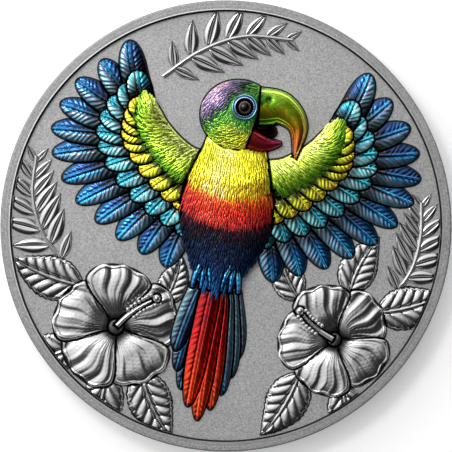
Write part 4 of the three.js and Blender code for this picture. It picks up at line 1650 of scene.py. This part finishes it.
def rosette_tree():
    tree, given = new_tree("rosette", Petal="Object", Petals="Int", Inner_Radius="Float", Silver="Material")
    ring = {"Resolution": given["Petals"], "Radius": given["Inner Radius"]}
    middle = output(tree, "GeometryNodeCurvePrimitiveCircle", ring)
    turn = rotation(tree, combine(tree, Z=calc(tree, "MULTIPLY", along_curve(tree), tau)))
    around = instances(tree, middle, object_mesh(tree, given["Petal"]), Rotation=turn)
    return close_tree(tree, around, given["Silver"])


def ridge_relief(t, v, edge, along, side):
    height = 0.13 * domed(v, 0.5) + 0.05 * bell(v, 0, 0.06) + 0.02 * np.cos(tau * 3 * v)
    return height, 1 - 0.6 * bell(np.abs(v), 0.12, 0.06) - smoothstep(np.abs(v), 0.9, 1)


def rosette(name):
    """Its tree sets one petal, which lies along X, on every point of a small circle."""
    flat = strip(bowed((0, 0), (10.5, 0), 0.0), leaf_width(2.6), ridge_relief, 60, columns(31))
    petal = bpy.data.objects.new("petal", to_mesh("petal", [turned_over(flat)]))
    sizes = {"Petals": 8, "Inner_Radius": 2.5 * MM}
    mesh = grow(name, bpy.data.meshes.new(name), rosette_tree(), Petal=petal, **sizes, Silver=POLISHED)
    bpy.data.objects.remove(petal)
    mesh.uv_layers.remove(mesh.uv_layers["OFBake"])
    flat_unwrap(mesh)
    return mesh


def hub_relief(r, x, y):
    return 0.15 * domed(r, 0.3), 1 - smoothstep(r, 0.9, 1)


place("reverse_rosette", rosette("reverse_rosette"), POLISHED, "silver", "coin")
bead_ring = [(*spot, REVERSE_FIELD) for spot in circle((0, 0), (22.4, 22.4), 96)]
place_beads("reverse_beads", bead_ring, 0.24)
hub = turned_over(boss((0, 0), (2.2, 2.2), hub_relief, 16, 64))
make("reverse_hub", [hub], POLISHED, "silver", "coin")

# %% [markdown]
# ## Studio
# Polished metal shows whatever is round it, so the light is what draws the relief. One large soft light
# stands to the upper left, with its edge nearly overhead. Metal that leans towards it turns white, and
# metal that leans away mirrors the dark of the room. Near the horizon the room is bright, which keeps the
# pale floor light.

# %% Floor and light
def toward(turn, tilt):
    """A direction. turn is its bearing, and tilt its angle from straight up."""
    return Vector((sin(tilt) * cos(turn), sin(tilt) * sin(turn), cos(tilt)))


def lay_floor(reach=2.0):
    mesh = bpy.data.meshes.new("floor")
    corners = [(-reach, -reach, 0), (reach, -reach, 0), (reach, reach, 0), (-reach, reach, 0)]
    mesh.from_pydata(corners, [], [(0, 1, 2, 3)])
    finish, tree, shader = new_finish("pale_floor")
    tint = ramp(tree, noise(tree, 40, detail=3), [(0.3, 0.93), (0.7, 0.96)])
    set_inputs(tree, shader, Base_Color=tint, Roughness=0.9, Emission_Color=tint, Emission_Strength=0.3)
    mesh.materials.append(finish)
    floor = add_object("floor", mesh)


def studio_room(turn, tilt, strength):
    """A dark room with one large soft light, and a bright band round the horizon, brighter on its side."""
    world = bpy.data.worlds.new("studio")
    bpy.context.scene.world = world
    world.use_nodes = True
    tree = world.node_tree
    way = node(tree, "ShaderNodeTexCoord").outputs["Generated"]
    x, y, z = node(tree, "ShaderNodeSeparateXYZ", {"Vector": way}).outputs
    # Below the floor the room is the same again, so that the back of the coin is lit too.
    up = calc(tree, "ABSOLUTE", z)
    way = combine(tree, X=x, Y=y, Z=up)
    # The light is brightest in its middle and fades out by these angles from it, in degrees.
    nearness = vector(tree, "DOT_PRODUCT", way, toward(turn, tilt), result="Value")
    fading = [(90, 0.006), (54, 0.01), (46, 0.037), (38, 0.17), (33, 0.31), (25, 0.44), (15, 0.5)]
    key = ramp(tree, nearness, [(cos(radians(angle)), grey) for angle, grey in fading])
    horizon = ramp(tree, up, [(0.34, 1.0), (0.45, 0.0)])
    lit_side = vector(tree, "DOT_PRODUCT", way, 0.5 * toward(turn, pi / 2), result="Value")
    band = ramp(tree, calc(tree, "ADD", lit_side, 0.5), [(0.1, 0.2), (0.45, 0.35), (0.8, 0.9)])
    room = blend(tree, "ADD", 1.0, key, blend(tree, "MULTIPLY", 1.0, horizon, band))
    set_inputs(tree, tree.nodes["Background"], Color=room, Strength=strength)


def softbox(name, turn, tilt, distance, side, power):
    """A square light that looks at the coin."""
    light = bpy.data.lights.new(name, "AREA")
    light.size = side
    light.energy = power
    lamp = add_object(name, light)
    where = toward(turn, tilt) * distance
    lamp.location = where
    lamp.rotation_euler = where.to_track_quat("Z", "Y").to_euler()


LIGHT_TURN = radians(130)  # the upper left
lay_floor()
studio_room(LIGHT_TURN, radians(35), 3.2)
softbox("key", LIGHT_TURN, radians(30), 0.22, 0.045, 0.1)
print("world:", bpy.context.scene.world.name, "and one softbox")

# %% [markdown]
# ## Camera
# The camera looks straight down on the coin, from far off through a long lens, so that the relief doesn't
# lean outwards near the rim. The coin fills the frame.

# %% Camera
FRAME_WIDTH = 2.002 * COIN_RADIUS
camera_data = bpy.data.cameras.new("camera")
camera_data.lens = 400
camera = add_object("camera", camera_data)
camera.location = (0, 0, (RIM_TOP + FRAME_WIDTH * camera_data.lens / camera_data.sensor_width) * MM)
bpy.context.scene.camera = camera
bpy.context.scene.view_settings.view_transform = "Standard"
print("camera height:", round(camera.location.z, 3), "m")
